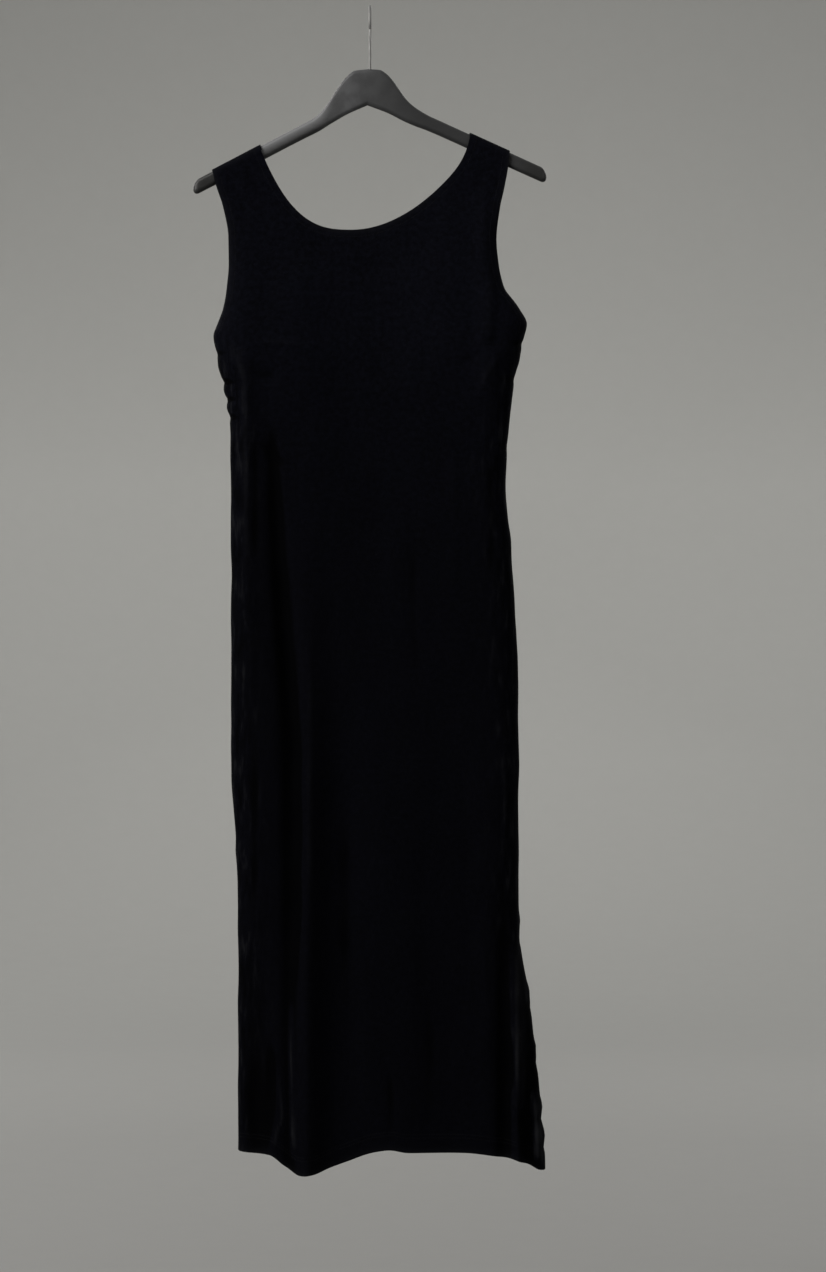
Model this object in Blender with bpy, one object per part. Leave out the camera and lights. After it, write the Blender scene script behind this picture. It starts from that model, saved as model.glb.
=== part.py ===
"""Sleeveless maxi dress hanging empty on a contoured hanger.

Run it with: blender --background --python part.py

Metres, +Z up. The origin is the underside of the hook's crown, where a rail or a peg carries it.
The dress faces -Y. "drop" is the distance below the origin, and "across" runs over a panel from
its left edge, 0, to its right edge, 1, as seen from the front.
"""

import math
from collections import namedtuple

import bmesh
import bpy
from mathutils import Vector

# ---- cloth -------------------------------------------------------------------------------------
CLOTH = 0.0015  # wall of one layer
TURNED_IN = 0.0009  # what an edge that is turned in adds to the inside
TURNED_WIDTH = 0.011  # how far the turned edge of the neck and the armholes reaches
HEM_TURN = 0.024  # and that of the hem
TURN_FADE = 0.004  # over which the wall grows
SEAM_GAP = 0.0003  # between the front and the back at a seam

# ---- the dress from the front and the side: one row for each section ---------------------------
# left and right are the outline, front and back the depth of each panel from the middle plane at
# its centre, and gape the depth at its side edges, which are apart above the underarm.
Section = namedtuple("Section", "drop left right front back gape")
SECTIONS = (
    Section(0.150, -0.2320, 0.1850, 0.0096, 0.0096, 0.0096),
    Section(0.210, -0.2055, 0.1790, 0.0100, 0.0098, 0.0096),
    Section(0.235, -0.1985, 0.1745, 0.0115, 0.0102, 0.0098),
    Section(0.262, -0.1895, 0.1685, 0.0140, 0.0112, 0.0103),
    Section(0.300, -0.1830, 0.1640, 0.0178, 0.0136, 0.0113),
    Section(0.335, -0.1826, 0.1668, 0.0210, 0.0156, 0.0112),
    Section(0.365, -0.1850, 0.1738, 0.0235, 0.0170, 0.0098),
    Section(0.392, -0.1902, 0.1935, 0.0250, 0.0180, 0.0065),
    Section(0.412, -0.1978, 0.2036, 0.0256, 0.0184, 0.0018),
    Section(0.428, -0.2030, 0.2000, 0.0260, 0.0188, 0.0000),
    Section(0.450, -0.1988, 0.1950, 0.0260, 0.0190, 0.0000),
    Section(0.480, -0.1925, 0.1882, 0.0250, 0.0190, 0.0000),
    Section(0.520, -0.1844, 0.1836, 0.0235, 0.0185, 0.0000),
    Section(0.560, -0.1806, 0.1792, 0.0225, 0.0185, 0.0000),
    Section(0.620, -0.1803, 0.1762, 0.0215, 0.0185, 0.0000),
    Section(0.710, -0.1803, 0.1835, 0.0220, 0.0200, 0.0000),
    Section(0.860, -0.1803, 0.1920, 0.0235, 0.0220, 0.0000),
    Section(1.000, -0.1795, 0.1930, 0.0250, 0.0235, 0.0000),
    Section(1.090, -0.1735, 0.1930, 0.0260, 0.0245, 0.0000),
    Section(1.190, -0.1713, 0.1935, 0.0270, 0.0255, 0.0000),
    Section(1.290, -0.1713, 0.2075, 0.0280, 0.0262, 0.0000),
    Section(1.390, -0.1713, 0.2185, 0.0290, 0.0272, 0.0000),
    Section(1.480, -0.1713, 0.2265, 0.0300, 0.0280, 0.0000),
    Section(1.520, -0.1713, 0.2280, 0.0300, 0.0280, 0.0000),
)
UNDERARM = 0.420
SIDE_ROUND = 0.036  # the sides turn from the front to the back over this width

# ---- neckline: two bows that meet at its lowest point --------------------------------------------
# bow is the power of each half's curve, and lift the share of its height in a last steep rise.
Neckline = namedtuple("Neckline", "low_x low left_x left_bow left_lift right_x right_bow right_lift")
FRONT_NECK = Neckline(-0.026, 0.2908, -0.1440, 2.75, 0.00, 0.1310, 2.02, 0.20)
BACK_NECK = Neckline(-0.024, 0.3000, -0.1440, 3.00, 0.00, 0.1310, 2.40, 0.20)
STEEP = 24  # power of the last rise

# ---- hem: one row for each place where it turns ------------------------------------------------
Hem = namedtuple("Hem", "x drop")
FRONT_HEM = (
    Hem(-0.172, 1.4830),
    Hem(-0.150, 1.4845),
    Hem(-0.130, 1.4865),
    Hem(-0.110, 1.5000),
    Hem(-0.091, 1.5105),
    Hem(-0.072, 1.5090),
    Hem(-0.052, 1.5020),
    Hem(-0.032, 1.4950),
    Hem(0.006, 1.4820),
    Hem(0.026, 1.4795),
    Hem(0.050, 1.4830),
    Hem(0.120, 1.4835),
    Hem(0.182, 1.4910),
    Hem(0.202, 1.4970),
    Hem(0.218, 1.5060),
    Hem(0.228, 1.5080),
)
BACK_HEM = (
    Hem(-0.172, 1.4830),
    Hem(-0.060, 1.4810),
    Hem(0.110, 1.4810),
    Hem(0.180, 1.4900),
    Hem(0.228, 1.5080),
)

# ---- folds: one row for each, begin to full where it grows and ebb to end where it dies ----------
# top_x and foot_x are where it starts and where it runs once full, rise is outwards, or inwards if
# negative, and spread half its width.
Fold = namedtuple("Fold", "begin full ebb end top_x foot_x rise spread")
PAST_HEM = 1.6
GONE = 1.7
FRONT_FOLDS = (
    Fold(0.44, 1.00, PAST_HEM, GONE, -0.139, -0.1030, -0.0130, 0.0100),
    Fold(0.50, 1.44, PAST_HEM, GONE, -0.078, -0.0850, 0.0260, 0.0165),
    Fold(1.10, 1.42, PAST_HEM, GONE, -0.150, -0.1460, -0.0100, 0.0140),
    Fold(0.80, 1.12, 1.30, 1.50, -0.034, -0.0380, -0.0055, 0.0200),
    Fold(0.62, 1.40, PAST_HEM, GONE, 0.018, 0.0300, 0.0055, 0.0380),
    Fold(0.70, 1.45, PAST_HEM, GONE, 0.090, 0.1000, -0.0045, 0.0260),
    Fold(1.05, 1.36, PAST_HEM, GONE, 0.172, 0.1760, -0.0095, 0.0080),
    Fold(1.16, 1.34, PAST_HEM, GONE, 0.184, 0.1910, 0.0075, 0.0075),
    Fold(1.20, 1.42, PAST_HEM, GONE, 0.198, 0.2070, -0.0090, 0.0080),
    Fold(0.22, 0.31, 0.42, 0.56, 0.150, 0.1500, 0.0045, 0.0085),
    Fold(0.40, 0.50, 0.72, 0.95, -0.160, -0.1600, 0.0035, 0.0085),
    Fold(0.30, 0.38, 0.44, 0.60, -0.080, -0.0950, 0.0050, 0.0300),
    Fold(0.30, 0.38, 0.44, 0.60, 0.080, 0.0950, 0.0050, 0.0300),
)
BACK_FOLDS = (
    Fold(0.46, 1.30, PAST_HEM, GONE, -0.120, -0.1280, 0.0115, 0.0170),
    Fold(0.55, 1.35, PAST_HEM, GONE, -0.080, -0.0900, -0.0080, 0.0140),
    Fold(0.60, 1.42, PAST_HEM, GONE, -0.045, -0.0420, 0.0150, 0.0220),
    Fold(0.75, 1.40, PAST_HEM, GONE, 0.012, 0.0160, -0.0070, 0.0240),
    Fold(0.50, 1.38, PAST_HEM, GONE, 0.068, 0.0800, 0.0160, 0.0210),
    Fold(0.60, 1.30, PAST_HEM, GONE, 0.115, 0.1300, -0.0085, 0.0150),
    Fold(1.00, 1.42, PAST_HEM, GONE, 0.155, 0.1760, 0.0110, 0.0150),
)

# ---- hanger ------------------------------------------------------------------------------------
# One row for each section of the symmetrical bar, by its reach from the centre.
BarSection = namedtuple("BarSection", "reach top bottom")
BAR_SECTIONS = (
    BarSection(0.0000, 0.0794, 0.1266),
    BarSection(0.0160, 0.0809, 0.1330),
    BarSection(0.0235, 0.0853, 0.1362),
    BarSection(0.0310, 0.0928, 0.1399),
    BarSection(0.0410, 0.1067, 0.1456),
    BarSection(0.0520, 0.1228, 0.1517),
    BarSection(0.0620, 0.1332, 0.1570),
    BarSection(0.0750, 0.1426, 0.1629),
    BarSection(0.0900, 0.1502, 0.1700),
    BarSection(0.1600, 0.1852, 0.2049),
    BarSection(0.2210, 0.2157, 0.2350),
)
BAR_CROWN = -0.0034  # x of the crown's middle: the hook stands a little to the right of it
CROWN_EDGE = 0.045  # from this reach to the next the shift fades, so the arms end evenly
ARM_START = 0.075
BAR_REACH = 0.2290  # centre to tip
BAR_THICK = 0.012
BAR_TIP_STEPS = 5
BAR_TIP_TURN = math.radians(85)  # how far round the tip its last section lies
BAR_SIDES = 16
ARM_LEVEL = 0.1051  # drop at which the arms' top edges would meet
ARM_FALL = 0.5006  # drop for each metre of reach
ARM_SLANT = math.cos(math.atan(ARM_FALL))
TILT = 0.034  # the bar hangs lower on the left by this much a metre
SWEEP = math.tan(math.radians(4.0))  # the arms lean forward from the centre
SWEEP_EASE = 0.018  # rounds the lean at the centre
SWEPT_TO = 0.25  # the cloth follows the sweep down to this drop
RELAXED_AT = 1.10  # and from this drop on keeps only a share of it
RELAXED_SHARE = 0.35
WRAP_CLEARANCE = 0.0014  # between the bar and the turned-in cloth over it
WRAP_RADIUS = BAR_THICK / 2 + WRAP_CLEARANCE + CLOTH + TURNED_IN
WRAP_HEIGHT = WRAP_RADIUS / ARM_SLANT

WIRE_RADIUS = 0.0018
CROWN_RADIUS = 0.0215  # of the hook's bend, along the wire's centre
HOOK_TIP_ANGLE = math.radians(205)  # where the bend ends, past the crown
HOOK_JOIN_ANGLE = math.radians(-58)  # where the bend leaves the shank
SHANK_TOP = 0.060  # drop at which the straight shank starts to bend
SHANK_PULL = 0.42  # how strongly both ends of that bend hold their direction
SOCKET_DEPTH = 0.020  # the shank's length inside the bar
SOCKET_CLEARANCE = 0.0003
SOCKET_SIDES = 20
SHANK_STEPS = 7
BEND_STEPS = 22

# ---- how finely the cloth is laid out ----------------------------------------------------------
FRONT_COLUMNS = 46
BACK_COLUMNS = 36
EDGE_ROWS = (0.0, 0.0012, 0.0040, 0.0090, 0.0150)  # distances below the top edge
YOKE_ROWS = 6
SKIRT_ROWS = 25
SKIRT_EASE = 1.08  # rows are a little closer at the bust
SETTLED = 0.460  # the columns leave the neckline and settle at this drop
HEM_LEVEL = 1.480
THIGH = 1.100  # drops at which the folds draw columns together
KNEE = 1.450
WRAP_CROWDING = 7.0
SIDE_CROWDING = 7.0
SIDE_CROWDING_REACH = 0.022
FOLD_CROWDING = 110.0
FOLD_CROWDING_REACH = 0.055
EDGE_STEPS = 60
SAMPLES = 600
SHARP_ANGLE = math.radians(50)


def clear_scene():
    """Removes every object that is already there."""
    for old in list(bpy.data.objects):
        bpy.data.objects.remove(old, do_unlink=True)


def ease(value):
    """Smooth step from 0 to 1."""
    value = min(max(value, 0.0), 1.0)
    return value * value * (3.0 - 2.0 * value)


def curve_through(knots):
    """A function that runs smoothly through (place, value) knots and never overshoots them."""
    places = [knot[0] for knot in knots]
    values = [knot[1] for knot in knots]
    steps = [b - a for a, b in zip(places, places[1:])]
    slopes = [(b - a) / step for a, b, step in zip(values, values[1:], steps)]
    tangents = [slopes[0]]
    for before, after in zip(slopes, slopes[1:]):
        same_way = before * after > 0
        tangents.append(2 * before * after / (before + after) if same_way else 0.0)
    tangents.append(slopes[-1])

    def at(place):
        place = min(max(place, places[0]), places[-1])
        i = max(k for k in range(len(steps)) if places[k] <= place or k == 0)
        t = (place - places[i]) / steps[i]
        rest = 1.0 - t
        return (
            values[i] * (1 + 2 * t) * rest * rest
            + tangents[i] * steps[i] * t * rest * rest
            + values[i + 1] * t * t * (3 - 2 * t)
            - tangents[i + 1] * steps[i] * t * t * rest
        )

    return at


def column_of(rows, key, value):
    """curve_through for two named columns of a table."""
    return curve_through([(getattr(row, key), getattr(row, value)) for row in rows])


def spread_evenly(sums, count):
    """(k, share) of count places at equal steps of a rising list of sums."""
    spots, k = [], 0
    for i in range(count):
        wanted = sums[-1] * i / (count - 1)
        while k < len(sums) - 2 and sums[k + 1] < wanted:
            k += 1
        spots.append((k, min((wanted - sums[k]) / (sums[k + 1] - sums[k]), 1.0)))
    return spots


left_edge = column_of(SECTIONS, "drop", "left")
right_edge = column_of(SECTIONS, "drop", "right")
gape_at = column_of(SECTIONS, "drop", "gape")
bar_top = column_of(BAR_SECTIONS, "reach", "top")
bar_bottom = column_of(BAR_SECTIONS, "reach", "bottom")


def x_at(across, drop):
    """x at a share of the width."""
    return left_edge(drop) + across * (right_edge(drop) - left_edge(drop))


def share_at(x, drop):
    """Share of the width at x."""
    return (x - left_edge(drop)) / (right_edge(drop) - left_edge(drop))


def sweep(x):
    """y of the hanger's middle plane at x: its arms lean forward."""
    return -SWEEP * (math.hypot(x, SWEEP_EASE) - SWEEP_EASE)


def middle(x, drop):
    """y of the middle plane between the front and the back, which relaxes towards the hem."""
    relaxed = ease((drop - SWEPT_TO) / (RELAXED_AT - SWEPT_TO))
    return sweep(x) * (1.0 - relaxed * (1.0 - RELAXED_SHARE))


def shoulder(x):
    """Drop of the shoulder seam, which lies over the hanger's arm."""
    above_bar = (WRAP_RADIUS - BAR_THICK / 2) / ARM_SLANT
    return ARM_LEVEL + ARM_FALL * abs(x) - TILT * x - above_bar


def neck_drop(neck, x):
    """Drop of the neckline at x."""
    if x < neck.low_x:
        end_x, bow, lift = neck.left_x, neck.left_bow, neck.left_lift
    else:
        end_x, bow, lift = neck.right_x, neck.right_bow, neck.right_lift
    share = (x - neck.low_x) / (end_x - neck.low_x)
    climb = (1 - lift) * share**bow + lift * share**STEEP
    return neck.low - (neck.low - shoulder(end_x)) * climb


class Panel:
    """The front or the back: a grid over its outside, and the same grid one wall further in."""

    def __init__(self, name, side, neck, hem, folds, columns):
        self.name = name
        self.side = side  # -1 for the front, 1 for the back
        self.depth_at = column_of(SECTIONS, "drop", name)
        self.neck = neck
        self.hem_at = column_of(hem, "x", "drop")
        self.folds = folds
        self.tops = self.space_tops(columns)
        self.feet = self.space_feet(columns)

    def top_edge(self):
        """(x, drop, crowding) along the left shoulder, the neckline and the right shoulder."""
        tips = []
        for edge in (left_edge, right_edge):
            x = edge(UNDERARM)
            for _ in range(EDGE_STEPS):
                x = edge(shoulder(x))
            tips.append(x)
        stops = (tips[0], self.neck.left_x, self.neck.low_x, self.neck.right_x, tips[1])
        for i, (start, end) in enumerate(zip(stops, stops[1:])):
            for k in range(EDGE_STEPS):
                t = k / EDGE_STEPS
                # Steps shrink towards the shoulders, where the neckline is steep.
                t = t**3 if i == 1 else 1 - (1 - t) ** 3 if i == 2 else t
                x = start + t * (end - start)
                if i in (1, 2):
                    drop = neck_drop(self.neck, x)
                    over_bar = (drop - shoulder(x)) / WRAP_HEIGHT
                    yield x, drop, 1.0 + WRAP_CROWDING * math.exp(-over_bar * over_bar)
                else:
                    yield x, shoulder(x), 1.0
        yield tips[1], shoulder(tips[1]), 1.0

    def space_tops(self, count):
        """(x, drop) where each column starts: along the top edge, with its corners kept."""
        edge = list(self.top_edge())
        sums = [0.0]
        for (x, drop, crowding), (next_x, next_drop, _) in zip(edge, edge[1:]):
            sums.append(sums[-1] + crowding * math.hypot(next_x - x, next_drop - drop))
        tops = []
        for k, share in spread_evenly(sums, count):
            here, after = edge[k], edge[k + 1]
            tops.append(tuple(here[i] + share * (after[i] - here[i]) for i in (0, 1)))
        for corner_x in (self.neck.left_x, self.neck.right_x):
            corner = (corner_x, shoulder(corner_x))
            nearest = min(range(1, count - 1), key=lambda i: math.dist(tops[i], corner))
            tops[nearest] = corner
        return tops

    def space_feet(self, count):
        """Where each column runs in the skirt: closer at the sides and in the folds."""
        sums = [0.0]
        for i in range(SAMPLES):
            across = (i + 0.5) / SAMPLES
            to_edge = min(across, 1 - across)
            crowding = 1.0 + SIDE_CROWDING * math.exp(-to_edge / SIDE_CROWDING_REACH)
            for fold in self.folds:
                for drop in (THIGH, KNEE):
                    away = (across - share_at(fold.foot_x, drop)) / FOLD_CROWDING_REACH
                    crowding += FOLD_CROWDING * abs(fold.rise) * math.exp(-away * away)
            sums.append(sums[-1] + crowding)
        return [(k + share) / SAMPLES for k, share in spread_evenly(sums, count)]

    def across_at(self, column, drop):
        """Share of the width at which a column lies: it leaves its top and settles below."""
        x, top = self.tops[column]
        start = share_at(x, top)
        return start + (self.feet[column] - start) * ease((drop - top) / (SETTLED - top))

    def fold_rise(self, x, drop):
        """What the folds add to the depth."""
        rise = 0.0
        for fold in self.folds:
            grown = ease((drop - fold.begin) / (fold.full - fold.begin))
            left = 1 - ease((drop - fold.ebb) / (fold.end - fold.ebb))
            away = (x - fold.top_x - (fold.foot_x - fold.top_x) * grown) / fold.spread
            rise += fold.rise * grown * left * math.exp(-0.5 * away * away)
        return rise

    def outside(self, across, drop):
        """The outer surface."""
        x = x_at(across, drop)
        to_edge = min(x - left_edge(drop), right_edge(drop) - x)
        turn = math.sqrt(max(0.0, 1 - (1 - min(to_edge / SIDE_ROUND, 1.0)) ** 2))
        gape = gape_at(drop)
        depth = gape + (self.depth_at(drop) - gape + self.fold_rise(x, drop)) * turn
        over = min(max((drop - shoulder(x)) / WRAP_HEIGHT, 0.0), 1.0)
        depth *= math.sqrt(1 - (1 - over) ** 2)
        return Vector((x, middle(x, drop) + self.side * max(depth, SEAM_GAP / 2), -drop))

    def outward(self, across, drop):
        """Unit normal of the outer surface, away from the inside of the dress."""
        step = 1e-4
        a, b = max(across - step, 0.0), min(across + step, 1.0)
        along = self.outside(b, drop) - self.outside(a, drop)
        above = max(drop - step, shoulder(x_at(across, drop)))
        down = self.outside(across, drop + step) - self.outside(across, above)
        normal = along.cross(down).normalized()
        return normal if normal.y * self.side > 0 else -normal

    def wall(self, across, drop, from_turn):
        """Thickness, which grows inwards where an edge is turned in or a seam has its allowance."""
        from_side = min(across, 1 - across) * (right_edge(drop) - left_edge(drop)) - TURNED_WIDTH
        bare = ease(min(from_side, from_turn) / TURN_FADE)
        return CLOTH + TURNED_IN * (1 - bare)

    def inside(self, across, drop, from_turn):
        """The inner surface, kept on its own side of the seams."""
        point = self.outside(across, drop)
        point = point - self.outward(across, drop) * self.wall(across, drop, from_turn)
        seam = middle(point.x, -point.z) + self.side * SEAM_GAP / 2
        point.y = min(point.y, seam) if self.side < 0 else max(point.y, seam)
        return point

    def spots(self, column):
        """(across, drop, distance past the turned edges) of the grid's rows in one column."""
        top = self.tops[column][1]
        hem = self.hem_at(x_at(self.feet[column], HEM_LEVEL))
        drops = [top + distance for distance in EDGE_ROWS]
        start = drops[-1]
        drops += [start + (UNDERARM - start) * i / YOKE_ROWS for i in range(1, YOKE_ROWS + 1)]
        last = hem - HEM_TURN - TURN_FADE
        for i in range(1, SKIRT_ROWS + 1):
            drops.append(UNDERARM + (last - UNDERARM) * (i / SKIRT_ROWS) ** SKIRT_EASE)
        drops += [hem - HEM_TURN, hem]
        return [
            (self.across_at(column, drop), drop, min(drop - top - TURNED_WIDTH, hem - HEM_TURN - drop))
            for drop in drops
        ]

    def build(self, material):
        """The panel as one closed wall."""
        grid = [self.spots(column) for column in range(len(self.tops))]
        outer = [[self.outside(across, drop) for across, drop, _ in column] for column in grid]
        inner = [[self.inside(*spot) for spot in column] for column in grid]
        return wall_object(self.name, outer, inner, material)


def wall_object(name, outer, inner, material):
    """A closed wall between two equal grids of points, each a list of columns."""
    columns, rows = len(outer), len(outer[0])
    mesh = bmesh.new()
    out = [[mesh.verts.new(point) for point in column] for column in outer]
    ins = [[mesh.verts.new(point) for point in column] for column in inner]
    for i in range(columns - 1):
        for k in range(rows - 1):
            mesh.faces.new((out[i][k], out[i][k + 1], out[i + 1][k + 1], out[i + 1][k]))
            mesh.faces.new((ins[i][k], ins[i + 1][k], ins[i + 1][k + 1], ins[i][k + 1]))
        for k in (0, rows - 1):
            mesh.faces.new((out[i][k], out[i + 1][k], ins[i + 1][k], ins[i][k]))
    for k in range(rows - 1):
        for i in (0, columns - 1):
            mesh.faces.new((out[i][k], out[i][k + 1], ins[i][k + 1], ins[i][k]))
    bmesh.ops.recalc_face_normals(mesh, faces=mesh.faces)
    return finish_object(name, mesh, material)


def finish_object(name, mesh, material):
    """Puts a bmesh into the scene as a smooth-shaded object."""
    data = bpy.data.meshes.new(name)
    mesh.to_mesh(data)
    mesh.free()
    data.materials.append(material)
    data.shade_smooth()
    data.set_sharp_from_angle(angle=SHARP_ANGLE)
    made = bpy.data.objects.new(name, data)
    bpy.context.collection.objects.link(made)
    return made


def plain_material(name, colour, roughness, metallic=0.0):
    """A Principled BSDF with one colour."""
    material = bpy.data.materials.new(name)
    material.use_nodes = True
    shader = material.node_tree.nodes["Principled BSDF"]
    shader.inputs["Base Color"].default_value = (*colour, 1.0)
    shader.inputs["Roughness"].default_value = roughness
    shader.inputs["Metallic"].default_value = metallic
    return material


def crown_shift(reach):
    """How far a section of the bar lies aside: all of the crown's shift, and none on the arms."""
    return BAR_CROWN * (1 - ease((reach - CROWN_EDGE) / (ARM_START - CROWN_EDGE)))


def bar_ring(x, top, bottom, thick):
    """Section of the hanger's bar at x: round edges above and below, flat faces between."""
    round_height = min(thick / 2 / ARM_SLANT, (bottom - top) / 2)
    ring = []
    for i in range(BAR_SIDES):
        angle = 2 * math.pi * (i + 0.5) / BAR_SIDES
        centre = top + round_height if math.sin(angle) > 0 else bottom - round_height
        drop = centre - round_height * math.sin(angle) - TILT * x
        ring.append(Vector((x, sweep(x) + thick / 2 * math.cos(angle), -drop)))
    return ring


def bar_stations():
    """(reach, top, bottom, thickness) from the centre to a rounded tip."""
    rows = []
    for here, after in zip(BAR_SECTIONS, BAR_SECTIONS[1:]):
        for reach in (here.reach, (here.reach + after.reach) / 2):
            rows.append((reach, bar_top(reach), bar_bottom(reach), BAR_THICK))
    full = BAR_SECTIONS[-1]
    for i in range(BAR_TIP_STEPS + 1):
        angle = BAR_TIP_TURN * i / BAR_TIP_STEPS
        reach = full.reach + (BAR_REACH - full.reach) * math.sin(angle)
        height = (full.bottom - full.top) / 2 * math.cos(angle)
        centre = (full.bottom + full.top) / 2 + (reach - full.reach) * ARM_FALL
        rows.append((reach, centre - height, centre + height, BAR_THICK * math.cos(angle)))
    return rows


def build_bar(material):
    """The hanger's bar, with the socket for the hook's shank cut into its top."""
    half = bar_stations()
    stations = [(crown_shift(reach) - reach, *sizes) for reach, *sizes in reversed(half[1:])]
    stations += [(crown_shift(reach) + reach, *sizes) for reach, *sizes in half]
    mesh = bmesh.new()
    rings = [[mesh.verts.new(point) for point in bar_ring(*row)] for row in stations]
    for one, other in zip(rings, rings[1:]):
        for k in range(BAR_SIDES):
            after = (k + 1) % BAR_SIDES
            mesh.faces.new((one[k], one[after], other[after], other[k]))
    mesh.faces.new(rings[0])
    mesh.faces.new(rings[-1])
    bmesh.ops.recalc_face_normals(mesh, faces=mesh.faces)
    bar = finish_object("hanger_bar", mesh, material)

    bpy.ops.mesh.primitive_cylinder_add(
        vertices=SOCKET_SIDES,
        radius=WIRE_RADIUS + SOCKET_CLEARANCE,
        depth=2 * (SOCKET_DEPTH + SOCKET_CLEARANCE),
        location=(0, 0, -bar_top(0)),
    )
    socket = bpy.context.object
    socket.name = "socket_cutter"
    socket.hide_render = True
    socket.display_type = "WIRE"
    cut = bar.modifiers.new("socket", "BOOLEAN")
    cut.operation = "DIFFERENCE"
    cut.object = socket
    return bar


def hook_route():
    """The wire's centre line: up the shank, into the bend, over the crown to the tip."""
    centre = Vector((0, 0, WIRE_RADIUS - CROWN_RADIUS))

    def on_bend(angle):
        return centre + CROWN_RADIUS * Vector((0, math.cos(angle), math.sin(angle)))

    foot = Vector((0, 0, -(bar_top(0) + SOCKET_DEPTH)))
    shank_top = Vector((0, 0, -SHANK_TOP))
    join = on_bend(HOOK_JOIN_ANGLE)
    onward = Vector((0, -math.sin(HOOK_JOIN_ANGLE), math.cos(HOOK_JOIN_ANGLE)))
    pull = (join - shank_top).length * SHANK_PULL
    handles = (shank_top + Vector((0, 0, pull)), join - onward * pull)
    route = [foot, foot.lerp(shank_top, 0.5), shank_top]
    for i in range(1, SHANK_STEPS + 1):
        t = i / SHANK_STEPS
        rest = 1 - t
        route.append(
            shank_top * rest**3
            + handles[0] * 3 * t * rest**2
            + handles[1] * 3 * t * t * rest
            + join * t**3
        )
    turn = HOOK_TIP_ANGLE - HOOK_JOIN_ANGLE
    for i in range(1, BEND_STEPS + 1):
        route.append(on_bend(HOOK_JOIN_ANGLE + turn * i / BEND_STEPS))
    return route


def build_hook(material):
    """The hook: round steel wire on that route."""
    curve = bpy.data.curves.new("hanger_hook", "CURVE")
    curve.dimensions = "3D"
    curve.bevel_depth = WIRE_RADIUS
    curve.bevel_resolution = 3
    curve.use_fill_caps = True
    route = hook_route()
    spline = curve.splines.new("POLY")
    spline.points.add(len(route) - 1)
    for point, place in zip(spline.points, route):
        point.co = (*place, 1.0)
    curve.materials.append(material)
    hook = bpy.data.objects.new("hanger_hook", curve)
    bpy.context.collection.objects.link(hook)
    return hook


def main():
    """Builds the dress and its hanger."""
    clear_scene()
    black_cloth = plain_material("black_cloth", (0.010, 0.010, 0.013), 0.85)
    hanger_grey = plain_material("hanger_grey", (0.055, 0.057, 0.060), 0.45)
    hook_steel = plain_material("hook_steel", (0.55, 0.55, 0.54), 0.28, 1.0)
    front = Panel("front", -1, FRONT_NECK, FRONT_HEM, FRONT_FOLDS, FRONT_COLUMNS)
    back = Panel("back", 1, BACK_NECK, BACK_HEM, BACK_FOLDS, BACK_COLUMNS)
    front.build(black_cloth)
    back.build(black_cloth)
    build_bar(hanger_grey)
    build_hook(hook_steel)


main()
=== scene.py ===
"""Looks of a sleeveless maxi dress that hangs empty on a contoured hanger.

Metres, +Z up. The origin is the underside of the hook's crown, and the dress faces -Y. "drop" is
the distance below the origin, and "across" runs over a panel from its left edge, 0, to its right
edge, 1, as seen from the front.
"""

import logging
import math
from collections.abc import Callable, Sequence
from dataclasses import dataclass
from enum import Enum
from functools import partial

import bpy
import numpy as np
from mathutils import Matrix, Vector
from mathutils.bvhtree import BVHTree


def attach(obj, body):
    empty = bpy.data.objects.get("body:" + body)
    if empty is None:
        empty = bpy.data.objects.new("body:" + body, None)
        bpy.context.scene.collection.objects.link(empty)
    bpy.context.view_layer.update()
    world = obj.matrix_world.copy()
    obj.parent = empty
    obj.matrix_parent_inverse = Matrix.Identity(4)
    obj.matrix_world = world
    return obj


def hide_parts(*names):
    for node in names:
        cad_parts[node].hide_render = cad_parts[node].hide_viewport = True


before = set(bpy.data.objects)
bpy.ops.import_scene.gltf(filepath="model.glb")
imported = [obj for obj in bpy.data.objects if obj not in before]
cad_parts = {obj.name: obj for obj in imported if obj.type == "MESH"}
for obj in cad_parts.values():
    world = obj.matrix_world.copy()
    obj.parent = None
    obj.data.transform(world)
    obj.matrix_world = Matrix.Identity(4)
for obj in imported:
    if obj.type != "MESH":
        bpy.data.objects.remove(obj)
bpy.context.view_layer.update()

LOG = logging.getLogger("maxi_dress")
BODY = "root"
LAID_OUT = "laid_out"  # metres over a sheet laid flat: u across, v down
WORN = "worn"  # 1 along an edge that rubs, 0 away from it
PAINTED_HIGHLIGHT = "polished"  # painted highlight: 1 where the bar's upper face is painted pale, as if it caught a light from the upper left
FOLD_LIGHT = "form"  # painted fold light: 1 on sharp crests, where highlight is painted, -1 in sharp hollows, where shade is painted, 0 where the cloth lies flat
SEAM = "seam"  # 1 at a side seam, 0 a few centimetres away
OUTWARD = "outward"  # the cloth's direction outwards at a seam's points
SHARP = 60.0  # edges that turn by more than this many degrees stay sharp

Array = np.ndarray
Piece = bpy.types.Object
Material = bpy.types.Material
Colour = tuple[float, float, float]
Point = tuple[float, float]
Inputs = dict[str | int, object]  # a node's inputs by socket name or number


# ---- nodes ----


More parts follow.
